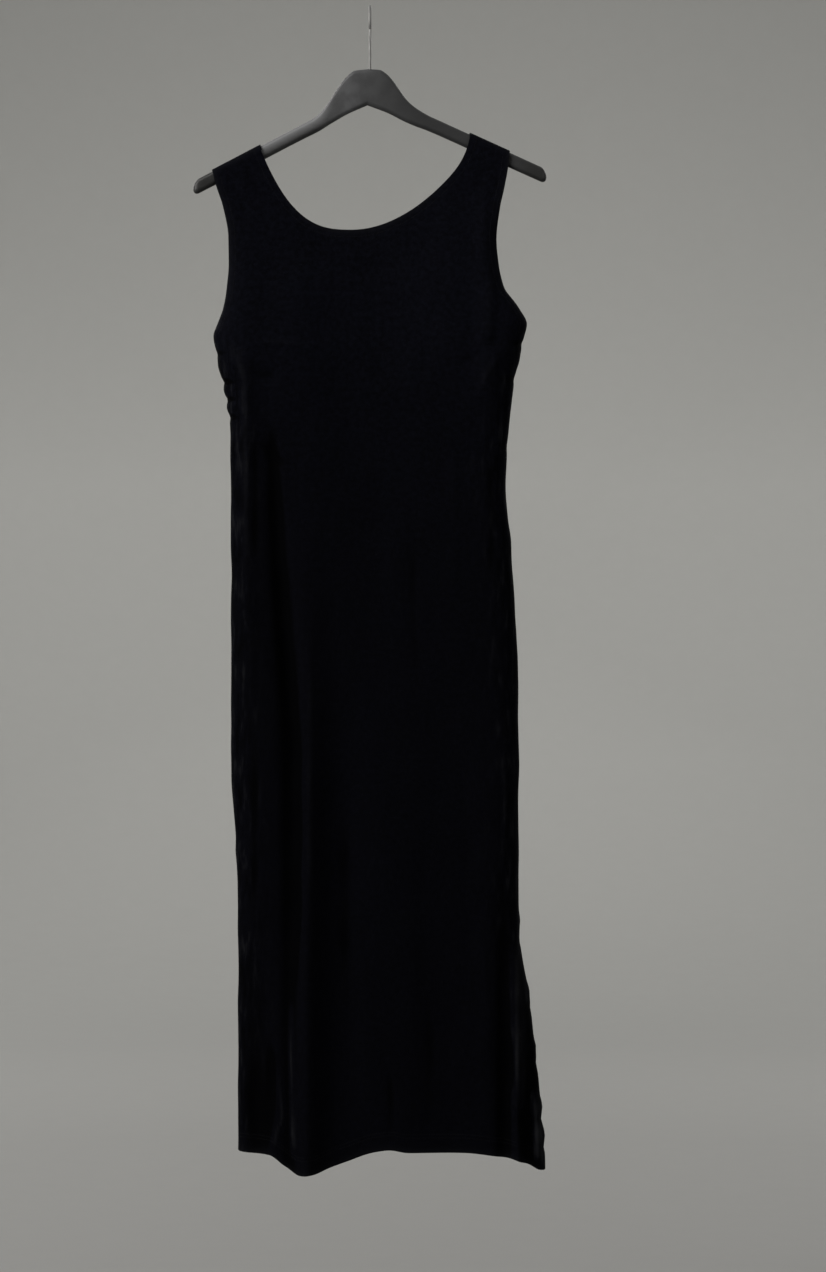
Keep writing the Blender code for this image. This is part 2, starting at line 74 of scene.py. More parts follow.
class Signal:
    """A node's output that can stand in an expression: each operator adds its Math node."""

    def __init__(self, graph: "Graph", socket: bpy.types.NodeSocket) -> None:
        """Holds an output of one of a graph's nodes."""
        self.graph = graph
        self.socket = socket

    def maths(self, operation: str, other: "Signal | float" = 0.0, swapped: bool = False) -> "Signal":
        """The result of a Math node on it and another term, which comes first if they are swapped."""
        terms = (other, self) if swapped else (self, other)
        return self.graph.node("ShaderNodeMath", dict(enumerate(terms)), operation=operation)

    def __add__(self, other: "Signal | float") -> "Signal":
        """self + other."""
        return self.maths("ADD", other)

    __radd__ = __add__

    def __sub__(self, other: "Signal | float") -> "Signal":
        """self - other."""
        return self.maths("SUBTRACT", other)

    def __rsub__(self, other: float) -> "Signal":
        """other - self."""
        return self.maths("SUBTRACT", other, swapped=True)

    def __mul__(self, other: "Signal | float") -> "Signal":
        """self * other."""
        return self.maths("MULTIPLY", other)

    def sine(self) -> "Signal":
        """Its sine."""
        return self.maths("SINE")

    def size(self) -> "Signal":
        """It without its sign."""
        return self.maths("ABSOLUTE")

    def between(self, low: float, high: float) -> "Signal":
        """A smooth step from 0 where it is low to 1 where it is high."""
        inputs = {0: self, 1: low, 2: high}
        return self.graph.node("ShaderNodeMapRange", inputs, interpolation_type="SMOOTHSTEP")


class Graph:
    """A node tree, for a material or for Geometry Nodes, that one method builds."""

    def __init__(self, tree: bpy.types.NodeTree) -> None:
        """Empties a tree, to build it."""
        self.tree = tree
        tree.nodes.clear()

    def add(self, kind: str, inputs: Inputs | None = None, **settings: object) -> bpy.types.Node:
        """Adds a node.

        Args:
            kind: The node's type.
            inputs: Values, colours, signals or lists of signals.
            **settings: Its properties, set first; "stops" are a ramp's (place, grey) pairs.

        Returns:
            The node.
        """
        made = self.tree.nodes.new(kind)
        for name, value in settings.items():
            if name == "stops":
                self.set_stops(made.color_ramp, value)
            else:
                setattr(made, name, value)
        for name, value in (inputs or {}).items():
            socket = made.inputs[name]
            signals = value if isinstance(value, list) else [value]
            if isinstance(signals[0], Signal):
                for signal in signals:
                    self.tree.links.new(signal.socket, socket)
            else:
                socket.default_value = (*value, 1.0) if socket.type == "RGBA" else value
        return made

    def node(
        self, kind: str, inputs: Inputs | None = None, output: str | int = 0, **settings: object
    ) -> Signal:
        """Adds a node as add() does, and hands back one of its outputs."""
        return Signal(self, self.add(kind, inputs, **settings).outputs[output])

    @staticmethod
    def set_stops(ramp: bpy.types.ColorRamp, stops: Sequence[Point]) -> None:
        """Gives a ramp its greys.

        Args:
            ramp: The ramp.
            stops: (place, grey) pairs from left to right.
        """
        while len(ramp.elements) < len(stops):
            ramp.elements.new(1.0)
        for element, (place, grey) in zip(ramp.elements, stops):
            element.position = place
            element.color = (grey, grey, grey, 1.0)

    def split(self, vector: Signal) -> tuple[Signal, Signal, Signal]:
        """A vector's x, y and z."""
        parts = self.add("ShaderNodeSeparateXYZ", {0: vector}).outputs
        return Signal(self, parts[0]), Signal(self, parts[1]), Signal(self, parts[2])

    def mix(self, factor: Signal | float, first: object, second: object) -> Signal:
        """A colour between two, by a factor from 0 to 1."""
        return self.node("ShaderNodeMix", {0: factor, 6: first, 7: second}, 2, data_type="RGBA")


class MaterialGraph(Graph):
    """The node tree of a new material."""

    def __init__(self, name: str) -> None:
        """Makes the material.

        Args:
            name: Its name.
        """
        self.material = bpy.data.materials.new(name)
        self.material.use_nodes = True
        super().__init__(self.material.node_tree)

    def place(self) -> Signal:
        """The point's place on the object, in metres."""
        return self.node("ShaderNodeTexCoord", output="Object")

    def laid_out(self) -> Signal:
        """The point's place on the sheet laid flat, in metres."""
        return self.node("ShaderNodeUVMap", uv_map=LAID_OUT)

    def attribute(self, name: str) -> Signal:
        """A number that the mesh holds."""
        return self.node("ShaderNodeAttribute", output="Fac", attribute_name=name)

    def noise(
        self,
        place: Signal,
        grain: float,
        detail: float = 2.0,
        rough: float = 0.5,
        scale: tuple[float, float, float] | None = None,
    ) -> Signal:
        """Soft noise from 0 to 1.

        Args:
            place: Where it is read.
            grain: The size of one blot, in metres.
            detail: How many finer layers it has.
            rough: How strong those are.
            scale: What multiplies the place along each axis, to draw the blots out.

        Returns:
            The noise.
        """
        if scale:
            place = self.node("ShaderNodeMapping", {"Vector": place, "Scale": scale})
        inputs = {"Vector": place, "Scale": 1.0 / grain, "Detail": detail, "Roughness": rough}
        return self.node("ShaderNodeTexNoise", inputs)

    def bump(self, height: Signal, depth: float, strength: float = 0.5) -> Signal:
        """A normal from a height between 0 and 1 that stands for a depth in metres."""
        inputs = {"Height": height, "Distance": depth, "Strength": strength}
        return self.node("ShaderNodeBump", inputs)

    def finish(self, inputs: dict[str, object]) -> Material:
        """Ends the tree in a Principled BSDF.

        Args:
            inputs: Its values and signals by socket name.

        Returns:
            The material.
        """
        shader = self.node("ShaderNodeBsdfPrincipled", inputs)
        self.add("ShaderNodeOutputMaterial", {"Surface": shader})
        return self.material


class ShapeGraph(Graph):
    """A Geometry Nodes tree with named inputs, which is run on a guide mesh."""

    def __init__(self, name: str, inputs: dict[str, str]) -> None:
        """Makes the tree.

        Args:
            name: Its name.
            inputs: The types of its inputs, by name, beside the guide.
        """
        self.group = bpy.data.node_groups.new(name, "GeometryNodeTree")
        super().__init__(self.group)
        face = self.group.interface
        face.new_socket("Guide", in_out="INPUT", socket_type="NodeSocketGeometry")
        for socket, kind in inputs.items():
            face.new_socket(socket, in_out="INPUT", socket_type=kind)
        face.new_socket("Result", in_out="OUTPUT", socket_type="NodeSocketGeometry")
        self.source = self.group.nodes.new("NodeGroupInput")

    def given(self, name: str) -> Signal:
        """One of the tree's own inputs."""
        return Signal(self, self.source.outputs[name])

    def close(self, shape: Signal) -> None:
        """Ends the tree: instances become plain mesh, smooth-shaded and with the material.

        Args:
            shape: What it has made.
        """
        plain = self.node("GeometryNodeRealizeInstances", {0: shape})
        smooth = self.node("GeometryNodeSetShadeSmooth", {0: plain})
        finish = {0: smooth, "Material": self.given("Material")}
        dressed = self.node("GeometryNodeSetMaterial", finish)
        self.add("NodeGroupOutput", {0: dressed})

    def run(self, name: str, guide: bpy.types.Mesh, values: dict[str, object]) -> Piece:
        """Runs the tree.

        Args:
            name: The new object's name.
            guide: The mesh that it works on.
            values: The tree's inputs by name.

        Returns:
            An object that holds the result as a plain mesh.
        """
        piece = bpy.data.objects.new(name, guide)
        bpy.context.scene.collection.objects.link(piece)
        modifier = piece.modifiers.new("maker", "NODES")
        modifier.node_group = self.group
        for item in self.group.interface.items_tree:
            if item.name in values:
                modifier[item.identifier] = values[item.name]
        graph = bpy.context.evaluated_depsgraph_get()
        result = bpy.data.meshes.new_from_object(piece.evaluated_get(graph))
        piece.modifiers.remove(modifier)
        piece.data = result
        result.name = name
        return piece


# ---- finishes ----


@dataclass(frozen=True)
class BlackCrepe:
    """The dress's cloth: a matte black knit with a crepe face, with painted shade in its folds' hollows,
    painted highlight on their crests, painted streaks of both beside the side seams, and a top painted
    paler as if lit from above.
    """

    deep: Colour = (0.0006, 0.0006, 0.0011)
    raised: Colour = (0.0024, 0.0026, 0.0046)
    # painted shade, laid in the folds' hollows and in the dark streaks beside the side seams
    painted_fold_shade: Colour = (0.0002, 0.0002, 0.0004)
    # painted highlight, laid on the folds' crests and on the pale streaks beside the side seams
    painted_fold_light: Colour = (0.0125, 0.0128, 0.0142)
    rubbed: Colour = (0.0052, 0.0053, 0.0064)
    roughness: float = 0.84
    wale: float = 0.0011  # one rib of the knit, across
    course: float = 0.0008  # one row of it, down
    pebble: float = 0.0017  # a blister of the crepe
    slub: float = 0.004  # a thicker stretch of yarn
    mottle: float = 0.0065
    streak: float = 0.0085  # a fine line of drawn cloth beside a side seam, painted as dark shade and pale highlight
    lint: float = 0.0026
    cloud: float = 0.06
    relief: float = 0.00032
    specular: float = 0.014
    sheen: float = 0.003
    sheen_tint: Colour = (0.80, 0.86, 1.0)
    # between these heights the face turns into the bodice's, which is painted paler: painted light, as
    # from a light above
    bodice_lit_from: float = -0.78
    bodice_lit_to: float = -0.36
    skirt_light_share: float = 0.45  # the skirt's share of the bodice's painted light

    def material(self) -> Material:
        """Returns: the cloth's material."""
        graph = MaterialGraph("black_crepe")
        cloth = graph.laid_out()
        across, down, _ = graph.split(cloth)
        ribs = (across * (2 * math.pi / self.wale)).sine() * (down * (2 * math.pi / self.course)).sine()
        pebbles = graph.noise(cloth, self.pebble, 3.0, 0.6)
        slubs = graph.noise(cloth, self.slub, scale=(1.0, 0.12, 1.0))
        height = pebbles * 0.62 + ribs * 0.14 + slubs * 0.35
        grain = graph.noise(cloth, self.mottle, 4.0, 0.62)
        cloud = graph.noise(graph.place(), self.cloud, 3.0, scale=(1.0, 1.0, 0.45))
        # the folds' bend, which paints shade in hollows and highlight on crests
        form = graph.attribute(FOLD_LIGHT)
        worn = graph.attribute(WORN)
        seam = graph.attribute(SEAM)
        streaks = graph.noise(cloth, self.streak, 3.0, 0.55, scale=(1.0, 0.22, 1.0))
        lint = graph.noise(cloth, self.lint, 1.0).between(0.74, 0.80)
        tone = grain.between(0.30, 0.72) * 0.55 + pebbles.between(0.35, 0.75) * 0.30
        tone = tone + cloud.between(0.3, 0.7) * 0.15
        _, _, z = graph.split(graph.place())
        # paler bodice: painted light from above
        bodice = z.between(self.bodice_lit_from, self.bodice_lit_to)
        tone = tone * (self.skirt_light_share + bodice * (1.0 - self.skirt_light_share))
        face = graph.mix(tone, self.deep, self.raised)
        # dark and pale streaks beside the side seams: painted shade and painted highlight
        face = graph.mix(streaks.between(0.50, 0.34) * seam * 0.8, face, self.painted_fold_shade)
        face = graph.mix(streaks.between(0.52, 0.74) * seam * 0.35, face, self.painted_fold_light)
        # painted shade in sharp hollows and painted highlight on sharp crests, by the folds' bend
        face = graph.mix(form.between(-0.03, -0.20) * 0.95, face, self.painted_fold_shade)
        face = graph.mix(form.between(0.12, 1.10) * (0.35 + grain * 0.5), face, self.painted_fold_light)
        return graph.finish(
            {
                "Base Color": graph.mix(worn * 0.5 + lint * 0.35, face, self.rubbed),
                "Roughness": self.roughness + (grain - 0.5) * 0.14 - worn * 0.06,
                "Normal": graph.bump(height, self.relief),
                "Specular IOR Level": self.specular,
                "Sheen Weight": self.sheen,
                "Sheen Roughness": 0.40,
                "Sheen Tint": self.sheen_tint,
            }
        )


@dataclass(frozen=True)
class BlackThread:
    """The thread of the stitches, a little smoother than the cloth."""

    colour: Colour = (0.0016, 0.0016, 0.0022)
    lit: Colour = (0.0036, 0.0036, 0.0046)
    twist: float = 0.0005
    relief: float = 0.00006

    def material(self) -> Material:
        """Returns: the thread's material."""
        graph = MaterialGraph("black_thread")
        across, _, down = graph.split(graph.place())
        strands = ((across + down) * (2 * math.pi / self.twist)).sine() * 0.5 + 0.5
        return graph.finish(
            {
                "Base Color": graph.mix(strands, self.colour, self.lit),
                "Roughness": 0.70 - strands * 0.10,
                "Normal": graph.bump(strands, self.relief),
                "Specular IOR Level": 0.06,
            }
        )


@dataclass(frozen=True)
class Charcoal:
    """The hanger's bar: charcoal grey with a satin face, fine grain and rubbed edges, with painted
    light: a paler middle, a painted highlight on the left arm's upper face, and painted shade on the
    right half and at the tips.
    """

    dark: Colour = (0.0120, 0.0123, 0.0128)
    pale: Colour = (0.0330, 0.0330, 0.0335)
    # painted light: the middle painted paler than the arms
    lit_middle: Colour = (0.0680, 0.0690, 0.0725)
    # painted highlight on the left arm's upper face
    polished: Colour = (0.1120, 0.1130, 0.1170)
    # painted shade at the tips
    ends: Colour = (0.0060, 0.0061, 0.0056)
    rubbed: Colour = (0.0640, 0.0640, 0.0650)
    dim: float = 0.75  # how much darker the right half is: painted shade, as if lit from the left
    painted_shade_over: tuple[float, float] = (-0.045, 0.030)
    lit_middle_to: float = 0.075  # from the centre, over which the middle is painted paler: painted light, as the light falls off along the arms
    shaded_ends_from: float = 0.185  # from here to the tips the face is painted darker: painted shade
    shaded_ends_to: float = 0.215
    speck: float = 0.0016
    grain: float = 0.006
    scuff: float = 0.035
    cloud: float = 0.020
    relief: float = 0.00012
    specular: float = 0.16
    coat: float = 0.14

    def material(self) -> Material:
        """Returns: the bar's material."""
        graph = MaterialGraph("charcoal_satin")
        place = graph.place()
        x, _, _ = graph.split(place)
        specks = graph.noise(place, self.speck, 3.0, 0.65)
        streaks = graph.noise(place, self.grain, 4.0, 0.6, scale=(0.25, 1.0, 1.0))
        scuffs = graph.noise(place, self.scuff, 5.0, 0.6).between(0.52, 0.72)
        cloud = graph.noise(place, self.cloud, 3.0).between(0.35, 0.65)
        tone = specks.between(0.34, 0.68) * 0.45 + streaks.between(0.3, 0.7) * 0.35 + cloud * 0.20
        face = graph.mix(tone, self.dark, self.pale)
        # paler middle: painted light
        lit_middle_mask = (x * x).between(self.lit_middle_to**2, 0.0)
        face = graph.mix(lit_middle_mask * (0.50 + cloud * 0.35), face, self.lit_middle)
        # darker right half: painted shade
        face = graph.mix(x.between(*self.painted_shade_over) * self.dim, face, self.dark)
        # painted highlight on the left arm's upper face
        highlight_mask = graph.attribute(PAINTED_HIGHLIGHT) * (0.72 + streaks * 0.25)
        face = graph.mix(highlight_mask, face, self.polished)
        # darker tips: painted shade
        end = (x * x).between(self.shaded_ends_from**2, self.shaded_ends_to**2)
        face = graph.mix(end * 0.75, face, self.ends)
        rubbed = graph.attribute(WORN) * (0.06 + scuffs * 0.35)
        return graph.finish(
            {
                "Base Color": graph.mix(rubbed, face, self.rubbed),
                "Roughness": 0.52 + (specks - 0.5) * 0.22 - scuffs * 0.06,
                "Normal": graph.bump(specks * 0.6 + streaks * 0.4, self.relief),
                "Specular IOR Level": self.specular,
                "Coat Weight": self.coat,
                "Coat Roughness": 0.30,
            }
        )


@dataclass(frozen=True)
class BrightWire:
    """The hook's steel wire, lightly drawn and dulled in places."""

    dim: Colour = (0.17, 0.17, 0.167)
    bright: Colour = (0.22, 0.22, 0.216)
    scratch: float = 0.0007
    stain: float = 0.012
    relief: float = 0.00002

    def material(self) -> Material:
        """Returns: the wire's material."""
        graph = MaterialGraph("bright_wire")
        place = graph.place()
        lines = graph.noise(place, self.scratch, 3.0, 0.6, scale=(1.0, 1.0, 0.08))
        stain = graph.noise(place, self.stain, 3.0)
        return graph.finish(
            {
                "Base Color": graph.mix(stain.between(0.3, 0.7), self.dim, self.bright),
                "Metallic": 1.0,
                "Roughness": 0.64 + stain * 0.12 + (lines - 0.5) * 0.10,
                "Normal": graph.bump(lines, self.relief, 0.3),
            }
        )


@dataclass(frozen=True)
class PaperBackdrop:
    """The studio's seamless floor and wall: warm grey paper with painted light, palest behind the dress,
    darker towards the floor's middle, the wall's top and both sides.
    """

    tint: Colour = (1.0, 0.998, 0.975)
    reach: float = 14.0  # along the paper, from the middle of the floor up the wall
    # painted light: grey by share of the reach along the paper
    greys: tuple[Point, ...] = (
        (0.00, 0.168),
        (0.10, 0.190),
        (0.20, 0.220),
        (0.32, 0.288),
        (0.42, 0.388),
        (0.52, 0.522),
        (0.62, 0.596),
        (0.71, 0.518),
        (0.80, 0.428),
    )
    aside: tuple[float, float] = (0.36, 2.14)  # metres to either side, over which the painted light falls off
    # painted shade towards the sides
    painted_side_shade: float = 0.07
    fibre: float = 0.05

    def material(self) -> Material:
        """Returns: the backdrop's material."""
        graph = MaterialGraph("paper_backdrop")
        _, run, _ = graph.split(graph.laid_out())
        x, _, _ = graph.split(graph.place())
        up = run * (1.0 / self.reach)
        grey = graph.node("ShaderNodeValToRGB", {0: up}, stops=self.greys)
        fibre = graph.noise(graph.place(), self.fibre, 3.0, 0.6)
        aside = x.size().between(*self.aside)
        # painted light along the paper and painted shade towards the sides
        shade = grey * (0.98 + fibre * 0.04) * (1.0 - aside * self.painted_side_shade)
        tinted = graph.node("ShaderNodeVectorMath", {0: self.tint, "Scale": shade}, operation="SCALE")
        return graph.finish({"Base Color": tinted, "Roughness": 0.95, "Specular IOR Level": 0.1})


# ---- meshes ----


def ease(value: Array | float, start: float = 0.0, end: float = 1.0) -> Array:
    """Smooth step from 0 where the value is start to 1 where it is end."""
    share = np.clip((value - start) / (end - start), 0.0, 1.0)
    return share * share * (3.0 - 2.0 * share)


class Profile:
    """A smooth run through (place, value) knots that never overshoots them."""

    def __init__(self, knots: Sequence[Point]) -> None:
        """Works out the slope at each knot.

        Args:
            knots: (place, value) pairs, in order.
        """
        self.places, self.values = np.array(knots).T
        self.steps = np.diff(self.places)
        slopes = np.diff(self.values) / self.steps
        before, after = slopes[:-1], slopes[1:]
        same_way = before * after > 0
        sums = np.where(same_way, before + after, 1.0)
        inner = np.where(same_way, 2 * before * after / sums, 0.0)
        self.tangents = np.concatenate((slopes[:1], inner, slopes[-1:]))

    def __call__(self, place: Array | float) -> Array:
        """The value at each place.

        Args:
            place: Places along the run.

        Returns:
            Their values, held level past both ends.
        """
        place = np.clip(place, self.places[0], self.places[-1])
        i = np.clip(np.searchsorted(self.places, place, side="right") - 1, 0, len(self.steps) - 1)
        t = (place - self.places[i]) / self.steps[i]
        rest = 1.0 - t
        return (
            self.values[i] * (1 + 2 * t) * rest * rest
            + self.tangents[i] * self.steps[i] * t * rest * rest
            + self.values[i + 1] * t * t * (3 - 2 * t)
            - self.tangents[i + 1] * self.steps[i] * t * t * rest
        )


def column_of(rows: Sequence[object], key: str, value: str) -> Profile:
    """A Profile through two named columns of a table."""
    return Profile([(getattr(row, key), getattr(row, value)) for row in rows])


def step_lengths(points: Array) -> Array:
    """Distances between successive points."""
    return np.linalg.norm(np.diff(points, axis=0), axis=1)


def running_sum(steps: Array) -> Array:
    """0, and then the sum of the steps so far."""
    return np.concatenate(([0.0], np.cumsum(steps)))


def shares(count: int) -> Array:
    """Even steps that end at 1."""
    return np.arange(1, count + 1) / count


def smooth_route(points: Array, steps: int = 8) -> Array:
    """A Catmull-Rom curve.

    Args:
        points: The points it passes through.
        steps: How many points it has for each stretch.

    Returns:
        The curve's points.
    """
    ends = np.vstack((2 * points[0] - points[1], points, 2 * points[-1] - points[-2]))
    t = (np.arange(steps) / steps)[:, None]
    stretches = []
    for a, b, c, d in zip(ends, ends[1:], ends[2:], ends[3:]):
        curve = 2 * b + (c - a) * t + (2 * a - 5 * b + 4 * c - d) * t**2 + (3 * b - a - 3 * c + d) * t**3
        stretches.append(curve / 2)
    return np.vstack((*stretches, points[-1:]))


def unit(vectors: Array) -> Array:
    """Vectors of length 1."""
    return vectors / np.maximum(np.linalg.norm(vectors, axis=-1, keepdims=True), 1e-12)


def make_object(
    name: str,
    points: Array,
    faces: Sequence[Sequence[int]],
    material: Material,
    layout: Array | None = None,
    fields: dict[str, Array] | None = None,
) -> Piece:
    """Puts a smooth-shaded mesh into the scene.

    Args:
        name: The object's name.
        points: Its vertices, one row each.
        faces: Its faces by vertex number, facing out.
        material: Its material.
        layout: Each vertex's place on the sheet laid flat.
        fields: Further numbers for each vertex, by name.

    Returns:
        The object.
    """
    mesh = bpy.data.meshes.new(name)
    mesh.from_pydata(points.tolist(), [], faces)
    mesh.materials.append(material)
    if layout is not None:
        corners = np.empty(len(mesh.loops), dtype=np.int32)
        mesh.loops.foreach_get("vertex_index", corners)
        layer = mesh.uv_layers.new(name=LAID_OUT)
        layer.data.foreach_set("uv", layout[corners].astype(np.float32).ravel())
    for field, values in (fields or {}).items():
        attribute = mesh.attributes.new(name=field, type="FLOAT", domain="POINT")
        attribute.data.foreach_set("value", values.astype(np.float32))
    mesh.shade_smooth()
    mesh.set_sharp_from_angle(angle=math.radians(SHARP))
    made = bpy.data.objects.new(name, mesh)
    bpy.context.scene.collection.objects.link(made)
    return made


def ring_faces(rings: int, around: int) -> list[tuple[int, ...]]:
    """Quads between successive closed rings of equal size.

    Args:
        rings: How many rings there are.
        around: How many points each has.

    Returns:
        The quads.
    """
    i, k = np.meshgrid(np.arange(rings - 1), np.arange(around), indexing="ij")
    after = (k + 1) % around
    here, below = i * around, (i + 1) * around
    quads = np.stack((here + k, here + after, below + after, below + k), -1)
    return [tuple(quad) for quad in quads.reshape(-1, 4).tolist()]


def facing_out(points: Array, faces: list[tuple[int, ...]]) -> list[tuple[int, ...]]:
    """Turns a closed mesh's faces round if they face inwards.

    Args:
        points: The mesh's points.
        faces: Its faces, which all face the same way.

    Returns:
        The faces, facing out.
    """
    quads = np.array([face[:3] + face[-1:] for face in faces])
    a, b, c, d = (points[quads[:, n]] for n in range(4))
    volume = np.einsum("ij,ij->", a, np.cross(b, c)) + np.einsum("ij,ij->", a, np.cross(c, d))
    return faces if volume > 0 else [face[::-1] for face in faces]


# ---- the dress's sizes ----


def in_metres(kind: Callable[..., object], *rows: Sequence[float]) -> tuple:
    """One object for each row of its sizes in millimetres."""
    return tuple(kind(*(size / 1000 for size in row)) for row in rows)


@dataclass(frozen=True)
class Section:
    """One level of the dress.

    left and right are the outline, front and back each panel's depth from the middle plane, and
    gape the depth at the side edges, which are apart above the underarm.
    """

    drop: float
    left: float
    right: float
    front: float
    back: float
    gape: float


SECTIONS = in_metres(
    Section,
    (150, -232, 185, 9.6, 9.6, 9.6),
    (210, -205.5, 179, 10, 9.8, 9.6),
    (235, -198.5, 174.5, 11.5, 10.2, 9.8),
    (262, -189.5, 168.5, 14, 11.2, 10.3),
    (300, -183, 164, 17.8, 13.6, 11.3),
    (335, -182.6, 166.8, 21, 15.6, 11.2),
    (365, -185, 173.8, 23.5, 17, 9.8),
    (392, -190.2, 193.5, 25, 18, 6.5),
    (412, -197.8, 203.6, 25.6, 18.4, 1.8),
    (428, -203, 200, 26, 18.8, 0),
    (450, -198.8, 195, 26, 19, 0),
    (480, -192.5, 188.2, 25, 19, 0),
    (520, -184.4, 183.6, 23.5, 18.5, 0),
    (560, -180.6, 179.2, 22.5, 18.5, 0),
    (620, -180.3, 176.2, 21.5, 18.5, 0),
    (710, -180.3, 183.5, 22, 20, 0),
    (860, -180.3, 192, 23.5, 22, 0),
    (1000, -179.5, 193, 25, 23.5, 0),
    (1090, -173.5, 193, 26, 24.5, 0),
    (1190, -171.3, 193.5, 27, 25.5, 0),
    (1290, -171.3, 207.5, 28, 26.2, 0),
    (1390, -171.3, 218.5, 29, 27.2, 0),
    (1480, -171.3, 226.5, 30, 28, 0),
    (1520, -171.3, 228, 30, 28, 0),
)


@dataclass(frozen=True)
class Neckline:
    """Two bows that meet at the neckline's lowest point.

    bow is the power of each half's curve, and lift the share of its height in a last steep rise.
    """

    low_x: float
    low: float
    left_x: float
    left_bow: float
    left_lift: float
    right_x: float
    right_bow: float
    right_lift: float
    steep: float = 24.0

    def climb(self, x: Array) -> Array:
        """How far the neckline has risen.

        Args:
            x: Places along it.

        Returns:
            Share of the way up from the lowest point to the shoulder.
        """
        on_left = x < self.low_x
        end = np.where(on_left, self.left_x, self.right_x)
        bow = np.where(on_left, self.left_bow, self.right_bow)
        lift = np.where(on_left, self.left_lift, self.right_lift)
        share = np.clip((x - self.low_x) / (end - self.low_x), 0.0, 1.0)
        return (1 - lift) * share**bow + lift * share**self.steep


FRONT_NECK = Neckline(-0.026, 0.2908, -0.1440, 2.75, 0.00, 0.1310, 2.02, 0.20)
BACK_NECK = Neckline(-0.024, 0.3000, -0.1440, 3.00, 0.00, 0.1310, 2.40, 0.20)


@dataclass(frozen=True)
class Hem:
    """A place where the hem turns."""

    x: float
    drop: float


FRONT_HEM = in_metres(
    Hem,
    (-172, 1483), (-150, 1484.5), (-130, 1486.5), (-110, 1500), (-91, 1510.5), (-72, 1509), (-52, 1502),
    (-32, 1495), (6, 1482), (26, 1479.5), (50, 1483), (120, 1483.5), (182, 1491), (202, 1497),
    (218, 1506), (228, 1508),
)
BACK_HEM = in_metres(
    Hem,
    (-172, 1483), (-60, 1481), (110, 1481), (180, 1490), (228, 1508),
)


@dataclass(frozen=True)
class Fold:
    """A large fold: it grows from begin to full and dies from ebb to end, or else past the hem.

    top_x and foot_x are where it starts and where it runs once full, rise is outwards, or inwards
    if negative, and spread half its width.
    """

    begin: float
    full: float
    top_x: float
    foot_x: float
    rise: float
    spread: float
    ebb: float = 1.6
    end: float = 1.7

    def lift(self, x: Array, drop: Array) -> Array:
        """What it adds to the depth.

        Args:
            x: Places over the panel.
            drop: Their drops.

        Returns:
            The depth added at each, in metres.
        """
        grown = ease(drop, self.begin, self.full)
        left = 1 - ease(drop, self.ebb, self.end)
        away = (x - self.top_x - (self.foot_x - self.top_x) * grown) / self.spread
        return self.rise * grown * left * np.exp(-0.5 * away * away)


FRONT_FOLDS = in_metres(
    Fold,
    (440, 1000, -137, -100, -13, 10),
    (500, 1440, -78, -85, 26, 16.5),
    (1100, 1420, -150, -146, -10, 14),
    (800, 1120, -34, -38, -5.5, 20, 1300, 1500),
    (620, 1400, 18, 30, 5.5, 38),
    (700, 1450, 90, 100, -4.5, 26),
    (1050, 1360, 172, 176, -9.5, 8),
    (1160, 1340, 184, 191, 7.5, 7.5),
    (1200, 1420, 198, 207, -9, 8),
    (220, 310, 150, 150, 4.5, 8.5, 420, 560),
    (400, 500, -160, -160, 3.5, 8.5, 720, 950),
    (300, 380, -80, -95, 5, 30, 440, 600),
    (300, 380, 80, 95, 5, 30, 440, 600),
)
BACK_FOLDS = in_metres(
    Fold,
    (460, 1300, -120, -128, 11.5, 17),
    (550, 1350, -80, -90, -8, 14),
    (600, 1420, -45, -42, 15, 22),
    (750, 1400, 12, 16, -7, 24),
    (500, 1380, 68, 80, 16, 21),
    (600, 1300, 115, 130, -8.5, 15),
    (1000, 1420, 155, 176, 11, 15),
)


class CreaseKind(Enum):
    """What a crease does to the cloth's face."""

    RIDGE = 1.0
    TROUGH = -1.0


@dataclass(frozen=True)
class Crease:
    """A fine crease along (x, drop) points, with its depth and half its width."""

    kind: CreaseKind
    depth: float
    width: float
    route: tuple[Point, ...]
    fade: float  # share of its length over which each end dies away
    swell: float = 0.22  # how uneven its height is
    swell_rate: float = 61.0  # radians of that for each metre along it
    swell_start: float = 900.0  # radians for each metre of width, so that no two swell alike

    def lift(self, x: Array, drop: Array) -> Array:
        """What it adds to the face.

        Args:
            x: Places over the panel.
            drop: Their drops.

        Returns:
            How far it lifts the face outwards at each, in metres.
        """
        route = smooth_route(np.array(self.route))
        lengths = step_lengths(route)
        starts = running_sum(lengths)
        nearest = np.full(x.shape, np.inf)
        share = np.zeros(x.shape)
        for start, end, length, run in zip(route, route[1:], lengths, starts):
            dx, dz = (end - start) / length
            along = np.clip((x - start[0]) * dx + (drop - start[1]) * dz, 0.0, length)
            away = np.hypot(x - start[0] - along * dx, drop - start[1] - along * dz)
            closer = away < nearest
            share = np.where(closer, (run + along) / starts[-1], share)
            nearest = np.where(closer, away, nearest)
        strength = ease(share / self.fade) * ease((1 - share) / self.fade)
        phase = share * starts[-1] * self.swell_rate + self.width * self.swell_start
        uneven = 1.0 + self.swell * np.sin(phase)
        return self.kind.value * self.depth * strength * uneven * np.exp(-((nearest / self.width) ** 2))


def crease(kind: CreaseKind, depth: float, width: float, *route: float, fade: float = 0.35) -> Crease:
    """A crease from its sizes in millimetres, where route is each point's x and drop in turn."""
    places = [place / 1000 for place in route]
    return Crease(kind, depth / 1000, width / 1000, tuple(zip(places[::2], places[1::2])), fade)


